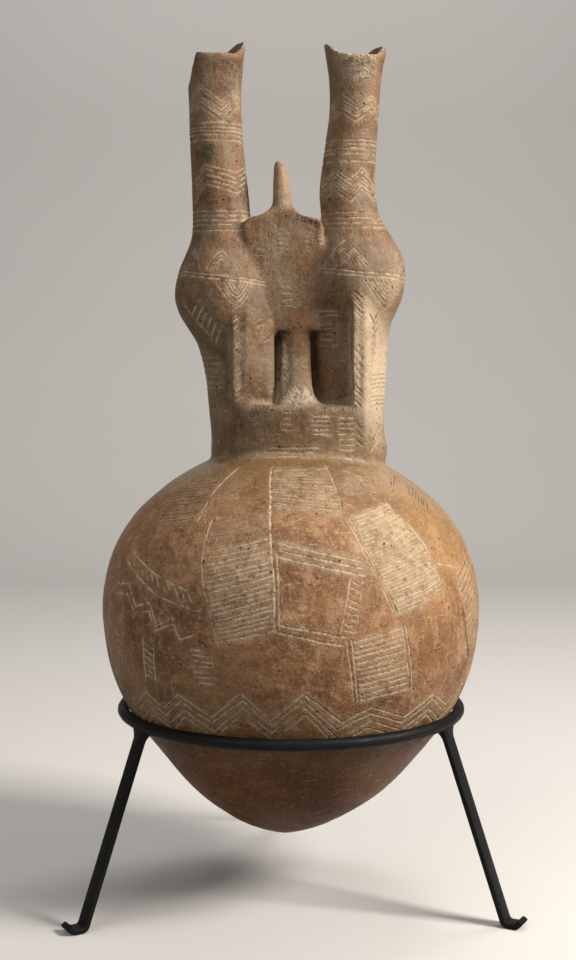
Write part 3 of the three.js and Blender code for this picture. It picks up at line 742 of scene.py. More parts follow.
def strap_members(necks):
    """Upright ridges in front of the stems: notched on the left, running into the round of the stem on the right."""
    size = settings().frame
    straps = []
    for neck, ridge, bevel, step in zip(necks, size.strap_ridges, size.strap_bevels, (0.2, -0.8)):
        high, long = neck.stem_top, settings().neck.bulb_length
        line = smooth_path([
            (size.strap_front + 6 * MM, -16 * MM), (size.strap_front + 3 * MM, 4 * MM),
            (size.strap_front, size.sill_height + 20 * MM), (size.strap_front, high - long * 0.11),
            (size.strap_front * 0.94, high + long * 0.14), (size.strap_front * 0.8, high + long * 0.3),
            (size.strap_front * 0.5, high + long * 0.42),
        ], 30)
        rings = []
        for y, z in line:
            middle, radius = float(neck.x(z)), float(neck.radius(z))
            away = math.hypot(ridge - middle, y)
            turn = math.atan2(y, ridge - middle) + math.acos(min(radius / away, 1))
            fade = float(1 - ease(-16 * MM, size.sill_height, z))
            side = np.array([middle + radius * math.cos(turn), radius * math.sin(turn), z])
            broad = side * 0.45 + np.array([ridge + 2.6 * MM, y + 1 * MM, z]) * 0.55
            if neck.side == "left":
                filled = float(1 - ease(size.panel_underside - 4 * MM, size.panel_underside + 42 * MM, z))
                sunk = float(ease(size.panel_underside - 30 * MM, size.panel_underside + 4 * MM, z))
                end = size.strap_front + (9 + 8.5 * sunk) * MM
                side += filled * (np.array([size.flank_end, end, z]) - side)
                broad += filled * (np.array([size.flank_end - 3.4 * MM, end - 4.5 * MM, z]) - broad)
            edge = ridge - bevel - 3 * MM * fade
            rings.append([
                (ridge, y, z), (ridge - 2.4 * MM, y + 0.9 * MM, z), (edge, y + (step + 3 * fade) * MM, z),
                (edge + 1 * MM, -0.4 * radius, z), (max(middle, side[0] - 1 * MM), -0.25 * radius, z),
                side, broad, (ridge + 2.6 * MM, y + 1.0 * MM, z),
            ])
        straps.append(loft(f"{neck.side}_strap_clay", from_crown(rings)))
    return straps


def handle_member():
    """Handle from the back of the upper panel down to the shoulder."""
    size = settings().frame
    reach, under = size.handle_reach, size.panel_underside
    high = size.panel_corner - under
    line = body_outline()
    upper = line[len(line) // 2:]
    shoulder = upper[np.argmax(upper[:, 0] < reach * 0.9), 1] - settings().body.height
    back = size.panel_front + size.panel_thickness
    knots = [
        (back - 6 * MM, under + high * 0.52), (reach * 0.35, under + high * 0.65),
        (reach * 0.78, under + high * 0.41), (reach, under * 0.6), (reach * 1.01, under * 0.08),
        (reach * 0.9, shoulder - 3 * MM), (reach * 0.82, shoulder - 16 * MM),
    ]
    path = smooth_path(knots, 46)
    turn = full_turn(20)
    rings = []
    for (y, z), (dy, dz), share in zip(path, directions(path), np.linspace(0, 1, len(path))):
        spread = 1 + 0.45 * math.exp(-share / 0.07) + 0.5 * math.exp(-(1 - share) / 0.1)
        across = size.handle_width / 2 * np.cos(turn) * spread
        deep = size.handle_thickness / 2 * np.sin(turn) * spread**0.5
        x = size.handle_middle + across
        rings.append(np.stack([x, y - dz * deep, crown() + z + dy * deep], 1))
    return loft("handle_clay", np.array(rings) + AXIS)


# Soft spots in millimetres from the crown: middle, reach and amount; a crust below nought is a dark stain
CRUSTS = (
    ((1, -37, 32), (11, 8, 8), 0.7), ((-5, -27, 52), (3, 9, 22), 0.8), ((12, -34, 34), (8, 8, 8), 0.5),
    ((46, -15, 252), (17, 12, 12), 0.5), ((40, -18, 261), (17, 8, 5), 0.4), ((-58, -15, 199), (6, 9, 9), -1.2),
    ((-52, -17, 258), (12, 8, 6), -0.35), ((-5, -16, 163), (8, 10, 6), 0.45), ((22, -17, 140), (4, 8, 10), 0.5),
)
WASHES = (
    ((60, -14, 45), (16, 28, 46), 1.0), ((50, -33, 62), (9, 10, 40), 0.8), ((68, -16, 114), (13, 20, 16), 0.4),
    ((74, -52, -24), (34, 34, 13), 0.35), ((-6, -14, 178), (9, 10, 19), 0.55), ((-60, -10, 38), (18, 26, 40), 0.42),
)


def stain(points, spots):
    """Sum of soft spots, each with its middle from the crown of the body, its reach and its amount."""
    places_now = to_crown(points) / MM
    mask = np.zeros(len(points))
    for middle, reach, amount in spots:
        mask += amount * np.exp(-np.sum(((places_now - middle) / reach) ** 2, 1))
    return mask


def broken_edge(middle, reach, lean):
    """A rough block that breaks clay away, leaning to the side, its middle above the crown."""
    deselect()
    bpy.ops.mesh.primitive_cube_add(size=1)
    bite = added("bite")
    move_points(bite.data, points_of(bite.data) * reach)
    apply_modifier(bite, "SUBSURF", subdivision_type="SIMPLE", levels=5, render_levels=5)
    roughen(bite, 6 * MM, 1.4 * MM)
    x, y, z = points_of(bite.data).T
    turned = np.stack([x * math.cos(lean) - z * math.sin(lean), y, x * math.sin(lean) + z * math.cos(lean)], 1)
    move_points(bite.data, from_crown(turned + middle))
    return bite


def clay_skin(solids, necks):
    """Lutes all the clay members into one skin, with soft joints and a hand-made surface."""
    clay = settings().clay
    trees = [BVHTree.FromObject(obj, bpy.context.evaluated_depsgraph_get()) for obj in solids[3:]]
    boxes = [(points_of(obj.data).min(0) - 9 * MM, points_of(obj.data).max(0) + 9 * MM) for obj in solids[3:]]
    deselect()
    for obj in solids:
        obj.select_set(True)
    bpy.context.view_layer.objects.active = solids[0]
    bpy.ops.object.join()
    skin = added("jug_skin")
    apply_modifier(skin, "REMESH", mode="VOXEL", voxel_size=clay.grain)
    apply_modifier(skin, "SMOOTH", factor=0.5, iterations=3)

    points = points_of(skin.data)
    x, y, z = to_crown(points).T
    away = np.hypot(x, y)
    line = body_outline()
    level = np.interp(z + settings().body.height, line[:, 1], line[:, 0])
    top_half = line[::-1][:OUTLINE_POINTS // 2]
    lid = np.interp(away, top_half[:, 0], top_half[:, 1]) - settings().body.height
    distances = [np.minimum(np.abs(away - level), np.abs(z - lid))]
    for neck in necks:
        distances.append(np.abs(np.hypot(x - neck.x(z), y) - neck.radius(z)) + np.maximum(-z - 30 * MM, 0))
    for tree, (low, high) in zip(trees, boxes):
        far = np.full(len(points), 1.0)
        inside = np.flatnonzero(np.all((points > low) & (points < high), axis=1))
        far[inside] = [tree.find_nearest(Vector(points[i]))[3] for i in inside]
        distances.append(far)
    second = np.sort(np.array(distances), axis=0)[1]
    crisp = ease(136 * MM, 146 * MM, z) * ease(9 * MM, 14 * MM, np.abs(x - settings().frame.panel_middle))
    weigh(skin, "joints", (1 - ease(1.5 * MM, 8 * MM, second)) * (1 - 0.9 * crisp))
    apply_modifier(skin, "SMOOTH", factor=0.5, iterations=24, vertex_group="joints")

    seat = settings().stand.ring_height
    weigh(skin, "free", np.clip(np.abs(points[:, 2] - seat) / (22 * MM), 0.05, 1))
    for size, share in ((55 * MM, 1.0), (17 * MM, 0.34), (6 * MM, 0.12)):
        roughen(skin, size, clay.unevenness * share, depth=1, group="free")
    skin.vertex_groups.clear()
    return skin


# ---------------------------------------------------------------- incised pattern


class Scribe:
    """Collects incised lines on the clay skin and cuts them into it."""

    step = 0.45  # millimetres between the points of a line
    waver = 0.45  # millimetres that a line strays

    def __init__(self, skin, necks):
        self.skin = skin
        self.necks = {neck.side: neck for neck in necks}
        self.tree = BVHTree.FromObject(skin, bpy.context.evaluated_depsgraph_get())
        self.outline = body_outline()
        self.random = np.random.default_rng(SEED)
        noise.seed_set(SEED)
        self.points, self.along, self.sizes = [], [], []

    def body(self, places_on_it):
        """Places on the body: degrees to the right of the front, millimetres above the tip."""
        angle, z = np.radians(places_on_it[:, 0]), places_on_it[:, 1] * MM
        reach = np.interp(z, self.outline[:, 1], self.outline[:, 0])
        return np.stack([reach * np.sin(angle), -reach * np.cos(angle), TIP + z], 1) + AXIS

    def neck(self, side):
        """Places on a neck: degrees to the right of its front, millimetres above the crown."""
        neck = self.necks[side]

        def on_neck(places_on_it):
            angle, z = np.radians(places_on_it[:, 0]), places_on_it[:, 1] * MM
            reach = neck.radius(z)
            return np.stack([neck.x(z) + reach * np.sin(angle), -reach * np.cos(angle), crown() + z], 1) + AXIS

        return on_neck

    def front(self, places_on_it):
        """Places on whatever faces front: millimetres to the right of the axis and above the crown."""
        found = []
        for x, z in places_on_it * MM:
            hit = self.tree.ray_cast(Vector((x + AXIS_X, AXIS_Y - 0.3, crown() + z)), Vector((0, 1, 0)))[0]
            if hit is not None:
                found.append(hit)
        return np.array(found).reshape(-1, 3)

    def line(self, surface, corners, width=1.0, depth=1.0, lime=1.0, bloom=None):
        """One incised line through some corners on a surface, a little unsteady as by hand."""
        corners = np.array(corners, float)
        rough = surface(corners)
        if len(rough) < len(corners):
            return
        steps = [corners[:1]]
        for a, b, near, far in zip(corners, corners[1:], rough, rough[1:]):
            count = max(int(np.linalg.norm(far - near) / (self.step * MM)), 2)
            steps.append(a + (b - a) * np.linspace(0, 1, count + 1)[1:, None])
        path = surface(np.concatenate(steps))
        if len(path) < 3:
            return
        shift = self.random.uniform(0, 50, 3)
        strays = np.array([noise.noise_vector(Vector(p * 70 + shift)) for p in path])
        path = path + strays * self.waver * MM
        path = np.array([self.tree.find_nearest(Vector(p))[0] for p in path])
        press = 0.8 + 0.35 * np.array([noise.noise(Vector(p * 45 - shift)) for p in path])
        press *= np.clip(np.minimum(np.arange(1, len(path) + 1), np.arange(len(path), 0, -1)) / 3, 0.4, 1)
        ones = np.ones(len(path))
        self.points.append(path)
        self.along.append(directions(path))
        bloom = 0.5 * lime if bloom is None else bloom
        fill = lime * (0.25 + 0.95 * press)
        self.sizes.append(np.stack([ones * width, depth * press, fill, ones * bloom], 1))

    def hatch(self, surface, left, right, count, lime=1.0, sides=(1, 1), gap=1.6, worn=0.0, bloom=1.4):
        """Parallel lines between two borders, which are drawn once or twice; the uppermost share is worn faint."""
        left, right = np.array(left, float), np.array(right, float)

        def along(border, share):
            place = share * (len(border) - 1)
            i = min(int(place), len(border) - 2)
            return border[i] + (border[i + 1] - border[i]) * (place - i)

        for i in range(count):
            share = np.clip((i + 0.5 + self.random.uniform(-0.18, 0.18)) / count, 0, 1)
            start = along(left, share)
            end = along(right, np.clip(share + self.random.uniform(-0.006, 0.006), 0, 1))
            trim = self.random.uniform(0.0, 0.05, 2)
            fill = lime if share > worn else lime * 0.4
            ends = [start + (end - start) * trim[0], end - (end - start) * trim[1]]
            self.line(surface, ends, 0.9, 0.9, fill * self.random.uniform(0.7, 1.15), fill * bloom)
        for border, number, way in ((left, sides[0], -1), (right, sides[1], 1)):
            for k in range(number):
                self.line(surface, border + [way * k * gap, 0], 1.1, 1.15, lime)

    def zigzag(self, surface, corners, count, step, lime=1.0):
        """The same zigzag several times, one below the other."""
        for k in range(count):
            moved = np.array(corners, float) - [0, k * step]
            moved[:, 1] += self.random.uniform(-0.5, 0.5, len(moved))
            self.line(surface, moved, lime=lime)

    def ladder(self, surface, left, right, rungs, slant=0.0, lime=1.0):
        """Two rails with short strokes between them."""
        left, right = np.array(left, float), np.array(right, float)
        self.line(surface, left, 1.0, 1.0, lime)
        self.line(surface, right, 1.0, 1.0, lime)
        for share in (np.arange(rungs) + 0.5) / rungs:
            start = left[0] + (left[-1] - left[0]) * share
            end = right[0] + (right[-1] - right[0]) * min(share + slant, 1)
            self.line(surface, [start + (end - start) * 0.12, end - (end - start) * 0.12], 0.9, 0.9, lime)

    def strokes(self, surface, start, end, stroke, count, lime=1.0, width=1.0, depth=1.0, bloom=None, loose=0.25):
        """A row of short strokes along a line."""
        start, end, stroke = np.array(start, float), np.array(end, float), np.array(stroke, float)
        for share in np.linspace(0, 1, count):
            place = start + (end - start) * share + self.random.uniform(-loose, loose, 2)
            reach = stroke * self.random.uniform(0.9 - loose * 0.5, 1.05, 2)
            fill = lime * self.random.uniform(0.6, 1.2)
            self.line(surface, [place - reach / 2, place + reach / 2], width, depth, fill, bloom)

    def rows(self, surface, left, right, top, bottom, count, lime=1.0):
        """Short level dashes, one below the other."""
        for z in np.linspace(top, bottom, count):
            ends = self.random.uniform(-0.08, 0.08, 2) * (right - left)
            tilt = self.random.uniform(-0.4, 0.4)
            self.line(surface, [(left + ends[0], z - tilt), (right + ends[1], z + tilt)], 0.95, 0.9, lime)

    def nested(self, surface, middle, half, base, tip, count, lime=1.0, bow=1.6, lean=0.0):
        """Nested arches, the outer one reaching from the base line to the tip; a bow of 1 gives straight sides."""
        across = np.linspace(-1, 1, 13)
        for k in range(count):
            share = 1 - k / (count + 0.4)
            rise = (tip - base) * share * (1 - np.abs(across) ** bow)
            swing = middle + half * share * across + lean * share * (1 - np.abs(across))
            self.line(surface, np.stack([swing, base + rise], 1), 0.95, 0.95, lime)

    def engrave(self):
        """Refines the skin along the lines, sinks the grooves and stores where lime fills them."""
        clay = settings().clay
        mesh = self.skin.data
        points, along = np.concatenate(self.points), np.concatenate(self.along)
        sizes = np.concatenate(self.sizes)
        tree = tree_of(points)

        def nearest(places_asked):
            found = [tree.find(place) for place in places_asked]
            return np.array([f[1] for f in found]), np.array([f[2] for f in found])

        near = nearest(points_of(mesh))[1] < 1.25 * clay.grain
        corners = values_of(mesh.loops, "vertex_index", 1, np.int32)
        chosen = np.logical_or.reduceat(near[corners], values_of(mesh.polygons, "loop_start", 1, np.int32))
        activate(self.skin)
        bpy.context.tool_settings.mesh_select_mode = (False, False, True)
        with editing("DESELECT"):
            pass
        mesh.polygons.foreach_set("select", chosen)
        with editing():
            bpy.ops.mesh.subdivide(number_cuts=1, smoothness=0, ngon=False, quadcorner="INNERVERT")

        places_now, normals = points_of(mesh), normals_of(mesh)
        index, far = nearest(places_now)
        offset = places_now - points[index]
        offset -= normals * np.sum(offset * normals, 1)[:, None]
        offset -= along[index] * np.sum(offset * along[index], 1)[:, None]
        aside = np.linalg.norm(offset, axis=1)
        half = clay.groove_width * sizes[index, 0]
        close = (far < 3 * half).astype(float)
        pull = close * (1 - ease(0.25 * half, 0.75 * half, aside)) * 0.9
        places_now -= offset * pull[:, None]
        aside *= 1 - pull
        far = np.where(close > 0, np.maximum(aside, far - half), far)
        valley = np.clip(1 - (far / half) ** 2, 0, 1)
        burr = np.exp(-(((far - 1.35 * half) / (0.35 * half)) ** 2))
        sink = (0.16 * burr * close - sizes[index, 1] * valley)[:, None]
        move_points(mesh, places_now + normals * sink * clay.groove_depth)
        lime = sizes[index, 2]
        write_mask(mesh, "lime", lime * (1 - ease(0.25 * half, 1.15 * half, far)))
        write_mask(mesh, "haze", sizes[index, 3] * np.exp(-((far / (2.6 * MM)) ** 2)))
        # This mask darkens the valley of each line as painted shade, less where lime fills it
        write_mask(mesh, "groove_shade", valley * np.where(lime > 0.3, 0.45, 1))


def incise_body(scribe):
    """Pattern on the round body: hatched panels, bands, ladders and a zigzag round the belly."""
    body = scribe.body
    scribe.hatch(
        body, [(-28.9, 232.4), (-27.5, 204.8), (-23.3, 177.3), (-20.6, 157)],
        [(-8.0, 241), (-5.8, 215), (-5.1, 190), (-4.4, 166)], 23, 0.95, (1, 0), worn=0.2,
    )
    scribe.line(body, [(-12.1, 262.6), (-8.2, 244.2), (-5.0, 203.5), (-4.2, 166.7)], 1.25, 1.2, 1.2)
    scribe.line(body, [(-4.2, 214), (-3.4, 190), (-3, 168)], 0.9, 0.9, 0.8)
    scribe.hatch(body, [(-11.4, 262), (-7.6, 241)], [(22.6, 263), (18.6, 234)], 14, 0.7, (0, 1))
    scribe.line(body, [(-34.6, 262), (-36, 247), (-34, 230)], 1.1, 1.1, 0.9)
    scribe.hatch(body, [(-60, 252), (-53, 226)], [(-39, 256), (-37, 231)], 13, 0.32, (0, 0))
    for z in (0, 4.2, 8.2):
        scribe.line(body, [(-3.6, 219.5 - z), (21.6, 207.4 - z)], 1.0, 1.1, 0.95, 1.6)
    scribe.ladder(body, [(17.4, 198), (13.6, 165)], [(20.8, 196), (18, 164.5)], 9, 0.06, 0.8)
    scribe.line(body, [(-3.6, 170.5), (14.8, 162)], 1.1, 1.1)
    scribe.line(body, [(-3.1, 165.6), (14.3, 156.4)], 1.1, 1.1)
    scribe.hatch(
        body, [(20.7, 233), (25.6, 203), (30.9, 174)], [(41, 241), (47.2, 215), (51.2, 184)],
        29, 0.75, (2, 1), 0.9, bloom=2.3,
    )
    scribe.hatch(body, [(16.6, 160), (19.8, 119)], [(32.2, 167), (36.6, 124)], 12, 1.0, (2, 2), 1.3)
    scribe.line(body, [(34.4, 260), (36.6, 243)], 1.0, 1.1, 0.7)
    scribe.strokes(body, (37.6, 257), (39, 247), (3.4, -1), 5, 1.0)
    scribe.line(body, [(-60.5, 208.5), (-45, 197), (-31.6, 189)], 1.1, 1.0, 1.4)
    scribe.line(body, [(-62, 203), (-41.5, 183), (-26.6, 176.5)], 1.1, 1.0, 1.4)
    for share in np.linspace(0.08, 0.95, 11):
        angle, z = -59 + 30 * share, 201.5 - 18 * share
        scribe.line(body, [(angle, z + 3), (angle + 1.4, z - 2.5)], 0.9, 0.9, 1.1)
    upper = [(-64, 186), (-56.4, 188), (-50.7, 174.7), (-44.4, 178.2), (-41.2, 164.4)]
    upper += [(-35.3, 170.8), (-32.7, 158.7)]
    lower = [(-63, 180), (-55.8, 181.1), (-51.4, 170.7), (-44.5, 173.1), (-41.6, 161.7), (-35.2, 167.1)]
    for corners in (upper, lower + [(-32.7, 157.4), (-28.3, 161.5)]):
        scribe.line(body, corners, 1.05, 1.0, 1.4)
    scribe.ladder(body, [(-62, 156), (-65.5, 134)], [(-57.6, 155), (-61, 133)], 5, 0.1, 1.5)
    scribe.ladder(body, [(-46.6, 155), (-48, 129)], [(-42.4, 155), (-43.6, 128)], 6, 0.14, 1.6)
    scribe.rows(body, -28.8, -23, 152, 131, 7, 1.4)
    scribe.line(body, [(-22.6, 151), (-22, 133)], 0.9, 0.9, 0.8)
    scribe.line(body, [(-29.4, 151), (-28.4, 132)], 0.9, 0.9, 0.6)
    front = [(-58, 107), (-50.2, 117.7), (-43, 108.4), (-34.9, 120.6), (-25, 107.5), (-14.7, 126.4), (-6.3, 109)]
    front += [(4, 126.6), (15.1, 105), (24.9, 115.6), (38.1, 105.1), (48.8, 117.1)]
    belt = front + [(59 + 243 * k / 24, 106 + 11 * (k % 2)) for k in range(25)]
    shake = scribe.random.uniform
    for drop in (0, 4.6, 10.2, 14.8):
        moved = [(a + shake(-0.6, 0.6), z - drop + shake(-0.7, 0.7)) for a, z in belt]
        scribe.line(body, moved, 0.9, 0.9, 1.4, 1.0)
    scribe.strokes(body, (59.6, 253.3), (67, 251.6), (-8.6, -4.6), 4, 0, 1.1, 1.6)
    scribe.strokes(body, (66.7, 246.4), (69.1, 237.2), (-9, -5.2), 7, 0, 1.1, 1.6)
    scribe.line(body, [(60.0, 170), (62.3, 152.7), (68.0, 133.2)], 1.0, 1.4, 0)
    scribe.strokes(body, (65.5, 195), (69, 140), (12, 10.5), 13, 0, 0.9, 1.3, 1.5)
    for marks in ([(-1.7, 230.1), (5.6, 234.7)], [(22.3, 190.3), (23.7, 193.2)], [(50.5, 201.9), (61.9, 196.7)]):
        scribe.line(body, marks, 0.9, 0.8, 0.9)
    scribe.line(body, [(3.2, 168.4), (4.2, 167.9), (5, 167.2)], 2.4, 1.4, 1.4)
    scribe.line(body, [(-25.9, 157.4), (-25.2, 156.7), (-24.6, 155.8)], 1.8, 1.8, 0)

    # The far side carries the same kinds of motif
    for turn in (112, 176, 246):
        scribe.hatch(
            body, [(turn - 11, 236), (turn - 13, 205), (turn - 9, 166)],
            [(turn + 9, 238), (turn + 11, 206), (turn + 9, 160)], 24, 0.9, (1, 2),
        )
    for turn in (138, 214):
        for z in (0, 4.2, 8.4):
            scribe.line(body, [(turn - 12, 222 - z), (turn + 12, 209 - z)], 1.1, 1.1, 0.9)
        scribe.ladder(body, [(turn - 2, 198), (turn - 4, 160)], [(turn + 2.4, 198), (turn, 160)], 8, 0, 0.9)
        scribe.hatch(body, [(turn - 9, 158), (turn - 7, 132)], [(turn + 8, 160), (turn + 9, 134)], 9, 0.9, (1, 1))


def incise_necks(scribe):
    """Pattern on the necks: zigzags and bands on the tubes, arches on the bulbs, marks on the stems."""
    left, right = scribe.neck("left"), scribe.neck("right")

    def around(first, valley, top, drop, count):
        """Corners of a zigzag once round a neck."""
        turn = 360 / count
        return [
            corner for k in range(-1, count)
            for corner in ((first + turn * k, top), (first + valley + turn * k, top - drop))
        ]

    scribe.zigzag(left, around(-30, 48, 243, 11.5, 4), 6, 2.7, 0.8)
    uneven = [(-110, 190), (-62, 178), (-27, 190.3), (38, 184.5), (74, 189.5)]
    uneven += [(115, 178), (160, 190), (205, 178), (250, 190)]
    scribe.zigzag(left, uneven, 5, 3.4, 0.8)
    scribe.zigzag(right, around(-31, 36, 236.5, 7, 5), 5, 2.7, 0.9)
    scribe.zigzag(right, around(-29, 34, 188, 8.5, 6), 6, 2.9, 0.9)
    for surface, start, turn, bands in (
        (left, -165, 330, (217.5, 214.6, 212.2, 209.6, 205.8, 159, 156, 152.6, 149.5, 146)),
        (right, -18, 340, (206.3, 203.6, 200.4, 197.2, 192)),
        (right, -160, 330, (157.5, 154, 151, 147.6)),
    ):
        for z in bands:
            tilt = scribe.random.uniform(-0.6, 0.6)
            first = start + scribe.random.uniform(-5, 5)
            band = [(first, z), (first + turn * 0.4, z + tilt), (first + turn, z - tilt)]
            scribe.line(surface, band, 1.0, 1.0, 0.85)
    for lift in (0, 2.4):
        for surface, girdle in (
            (left, [(-170, 112), (-55, 115.6), (62, 108.8)]),
            (right, [(-52, 118), (10, 114.4), (80, 111.8), (170, 112)]),
        ):
            scribe.line(surface, [(turn, z + lift) for turn, z in girdle], 1.1, 1.0, 1.0)
    for arches in (
        (-46, 17, 119.5, 132, 4, 0.75), (1, 20, 119, 131, 4, 0.8), (19, 23, 110, 94.5, 5, 0.95),
        (-95, 24, 111, 96, 5, 0.8),
    ):
        scribe.nested(left, *arches)
    scribe.line(left, [(-52, 96), (-44, 87), (-29, 70)], 1.2, 1.0, 1.2)
    for share in np.linspace(0.3, 1, 6):
        foot = np.array([-52 + 23 * share, 96 - 26 * share])
        scribe.line(left, [foot, foot + [17, 9]], 1.3, 1.1, 1.4)
    for arches in (
        (-17, 30, 121, 139, 6, 0.9, 1.2), (36, 30, 112, 93, 6, 1.0, 1.5, 8), (98, 25, 112, 95, 5, 0.8),
        (62, 18, 117, 131, 4, 0.6),
    ):
        scribe.nested(right, *arches)
    for z in (86, 81, 76, 71, 66, 60):
        scribe.line(right, [(9, z + 2.8), (18, z - 2.6), (27, z + 2.8)], 1.3, 1.5, 0.05)
    for z in (47.5, 44.4, 41.4, 38.7, 32.6, 29.9, 26.9):
        scribe.line(right, [(7, z), (50, z + 0.8), (100, z + 0.4)], 1.0, 1.1, 0.7)
    for z in (17, 11, 5):
        scribe.line(right, [(6, z), (30, z - 9), (60, z + 2)], 1.1, 1.3, 0.3)
    for z in (60, 56, 52, 47, 43, 39.5):
        scribe.line(left, [(-110, z), (-70, z + 0.6), (-33, z)], 1.0, 1.0, 0.7)
    scribe.strokes(left, (-60, 30), (-50, 4), (9, 5), 6, 0.5)


def incise_frame(scribe):
    """Pattern on the panels, the post and the straps, with notched edges."""
    front = scribe.front
    scribe.strokes(front, (-36.2, 97), (-36.4, 58), (4.8, 4.2), 11, 0.9, 1.0, 0.9, loose=0.7)
    scribe.strokes(front, (-34.6, 56), (-34.4, 33), (5.0, 3.8), 8, 0.95, 1.0, 0.9, loose=0.6)
    scribe.strokes(front, (44.8, 102), (44.8, 88), (5.2, -5.2), 5, 0.7, 1.3, 1.4)
    for z in (68, 62, 56, 50):
        scribe.line(front, [(42.2, z - 3), (45, z + 0.6), (47.6, z - 3)], 1.1, 1.2, 0.7)
        scribe.line(front, [(42.2, z - 2), (45, z - 5.6), (47.6, z - 2)], 1.1, 1.2, 0.7)
    scribe.strokes(front, (44.8, 39), (44.8, 29.5), (4.8, -4.2), 4, 0.7, 1.25, 1.3)
    scribe.strokes(front, (18, 26.8), (43, 25.4), (-0.6, 3.6), 13, 0.35, 1.0, 1.3, loose=0.5)
    scribe.strokes(front, (-30, 26.6), (-13, 26.6), (0.6, 2.4), 7, 0.3, 0.9, 1.0, loose=0.5)
    scribe.strokes(front, (-3.6, 66), (-3.6, 38), (2.6, -4.4), 8, 1.2, 1.1, 0.8, loose=1.3)
    scribe.strokes(front, (3, 155.2), (18.6, 149.6), (0.8, 3.4), 11, 0.15, 1.1, 1.7)
    scribe.strokes(front, (18.9, 150), (18.9, 138), (3, 0.8), 6, 0.3, 0.9, 1.2)
    for dashes in (
        (-10, -3, 144, 131, 5, 0.5), (9, 13, 145, 132, 5, 0.5), (-7, 2, 112, 95, 5, 0.5),
        (-24, -17.6, 137, 129, 3, 0.45), (16, 32, 91.4, 88.4, 2, 0.7), (19, 31, 83, 68.5, 5, 0.65),
        (32.6, 38, 58, 54, 2, 0.6),
    ):
        scribe.rows(front, *dashes)
    scribe.strokes(front, (-24, 88), (-15, 72), (6, 3), 6, 0.5)
    scribe.strokes(front, (-14, 41), (-9, 35), (6.4, 2.4), 3, 0.6)
    for dashes in (
        (-5, 1, 24, 12, 4, 0.6), (14, 26, 21, 9, 5, 0.9), (33.4, 42, 19.6, -1.8, 7, 0.95), (-16, 17, 0, -6, 3, 0.8)
    ):
        scribe.rows(front, *dashes)
    scribe.strokes(front, (-24, 20), (-19, 6), (5, 2.6), 5, 0.45)


# ---------------------------------------------------------------- materials


def new_material(name):
    """An empty node material with its Principled shader."""
    material = bpy.data.materials.new(name)
    material.use_nodes = True
    return material, material.node_tree, material.node_tree.nodes["Principled BSDF"]


def put(tree, kind, inputs=(), **values):
    """Adds a node, sets its properties and gives its inputs a value or a link."""
    new = tree.nodes.new(kind)
    for key, value in values.items():
        setattr(new, key, value)
    for key, value in dict(inputs).items():
        if isinstance(value, bpy.types.NodeSocket):
            tree.links.new(value, new.inputs[key])
        else:
            new.inputs[key].default_value = value
    return new


def mix(tree, share, first, second, blend="MIX"):
    """Mixes two colours and gives the resulting socket."""
    return put(
        tree, "ShaderNodeMix", {0: share, 6: first, 7: second}, data_type="RGBA", blend_type=blend
    ).outputs[2]


def reckon(tree, operation, first, second):
    """A Math node's result."""
    return put(tree, "ShaderNodeMath", {0: first, 1: second}, operation=operation).outputs[0]


def spread(tree, value, low, high, least=0.0, most=1.0):
    """A value mapped from one range to another."""
    ranges = {"Value": value, 1: low, 2: high, 3: least, 4: most}
    return put(tree, "ShaderNodeMapRange", ranges, interpolation_type="SMOOTHSTEP").outputs[0]


def speckle(tree, vector, scale, detail=3.0, rough=0.55):
    """Noise of one scale, in cells to the metre."""
    return put(
        tree, "ShaderNodeTexNoise", {"Vector": vector, "Scale": scale, "Detail": detail, "Roughness": rough}
    ).outputs["Fac"]


def bumpy(tree, shader, height, strength, distance):
    """Gives a shader fine relief."""
    bump = put(tree, "ShaderNodeBump", {"Height": height, "Strength": strength, "Distance": distance})
    tree.links.new(bump.outputs["Normal"], shader.inputs["Normal"])


def new_group(name, inputs, outputs):
    """A shader node group with sockets of some label and kind, and its input and output nodes."""
    group = bpy.data.node_groups.new(name, "ShaderNodeTree")
    for way, sockets in (("INPUT", inputs), ("OUTPUT", outputs)):
        for label, kind in sockets.items():
            group.interface.new_socket(name=label, in_out=way, socket_type=f"NodeSocket{kind}")
    return group, group.nodes.new("NodeGroupInput").outputs, group.nodes.new("NodeGroupOutput").inputs


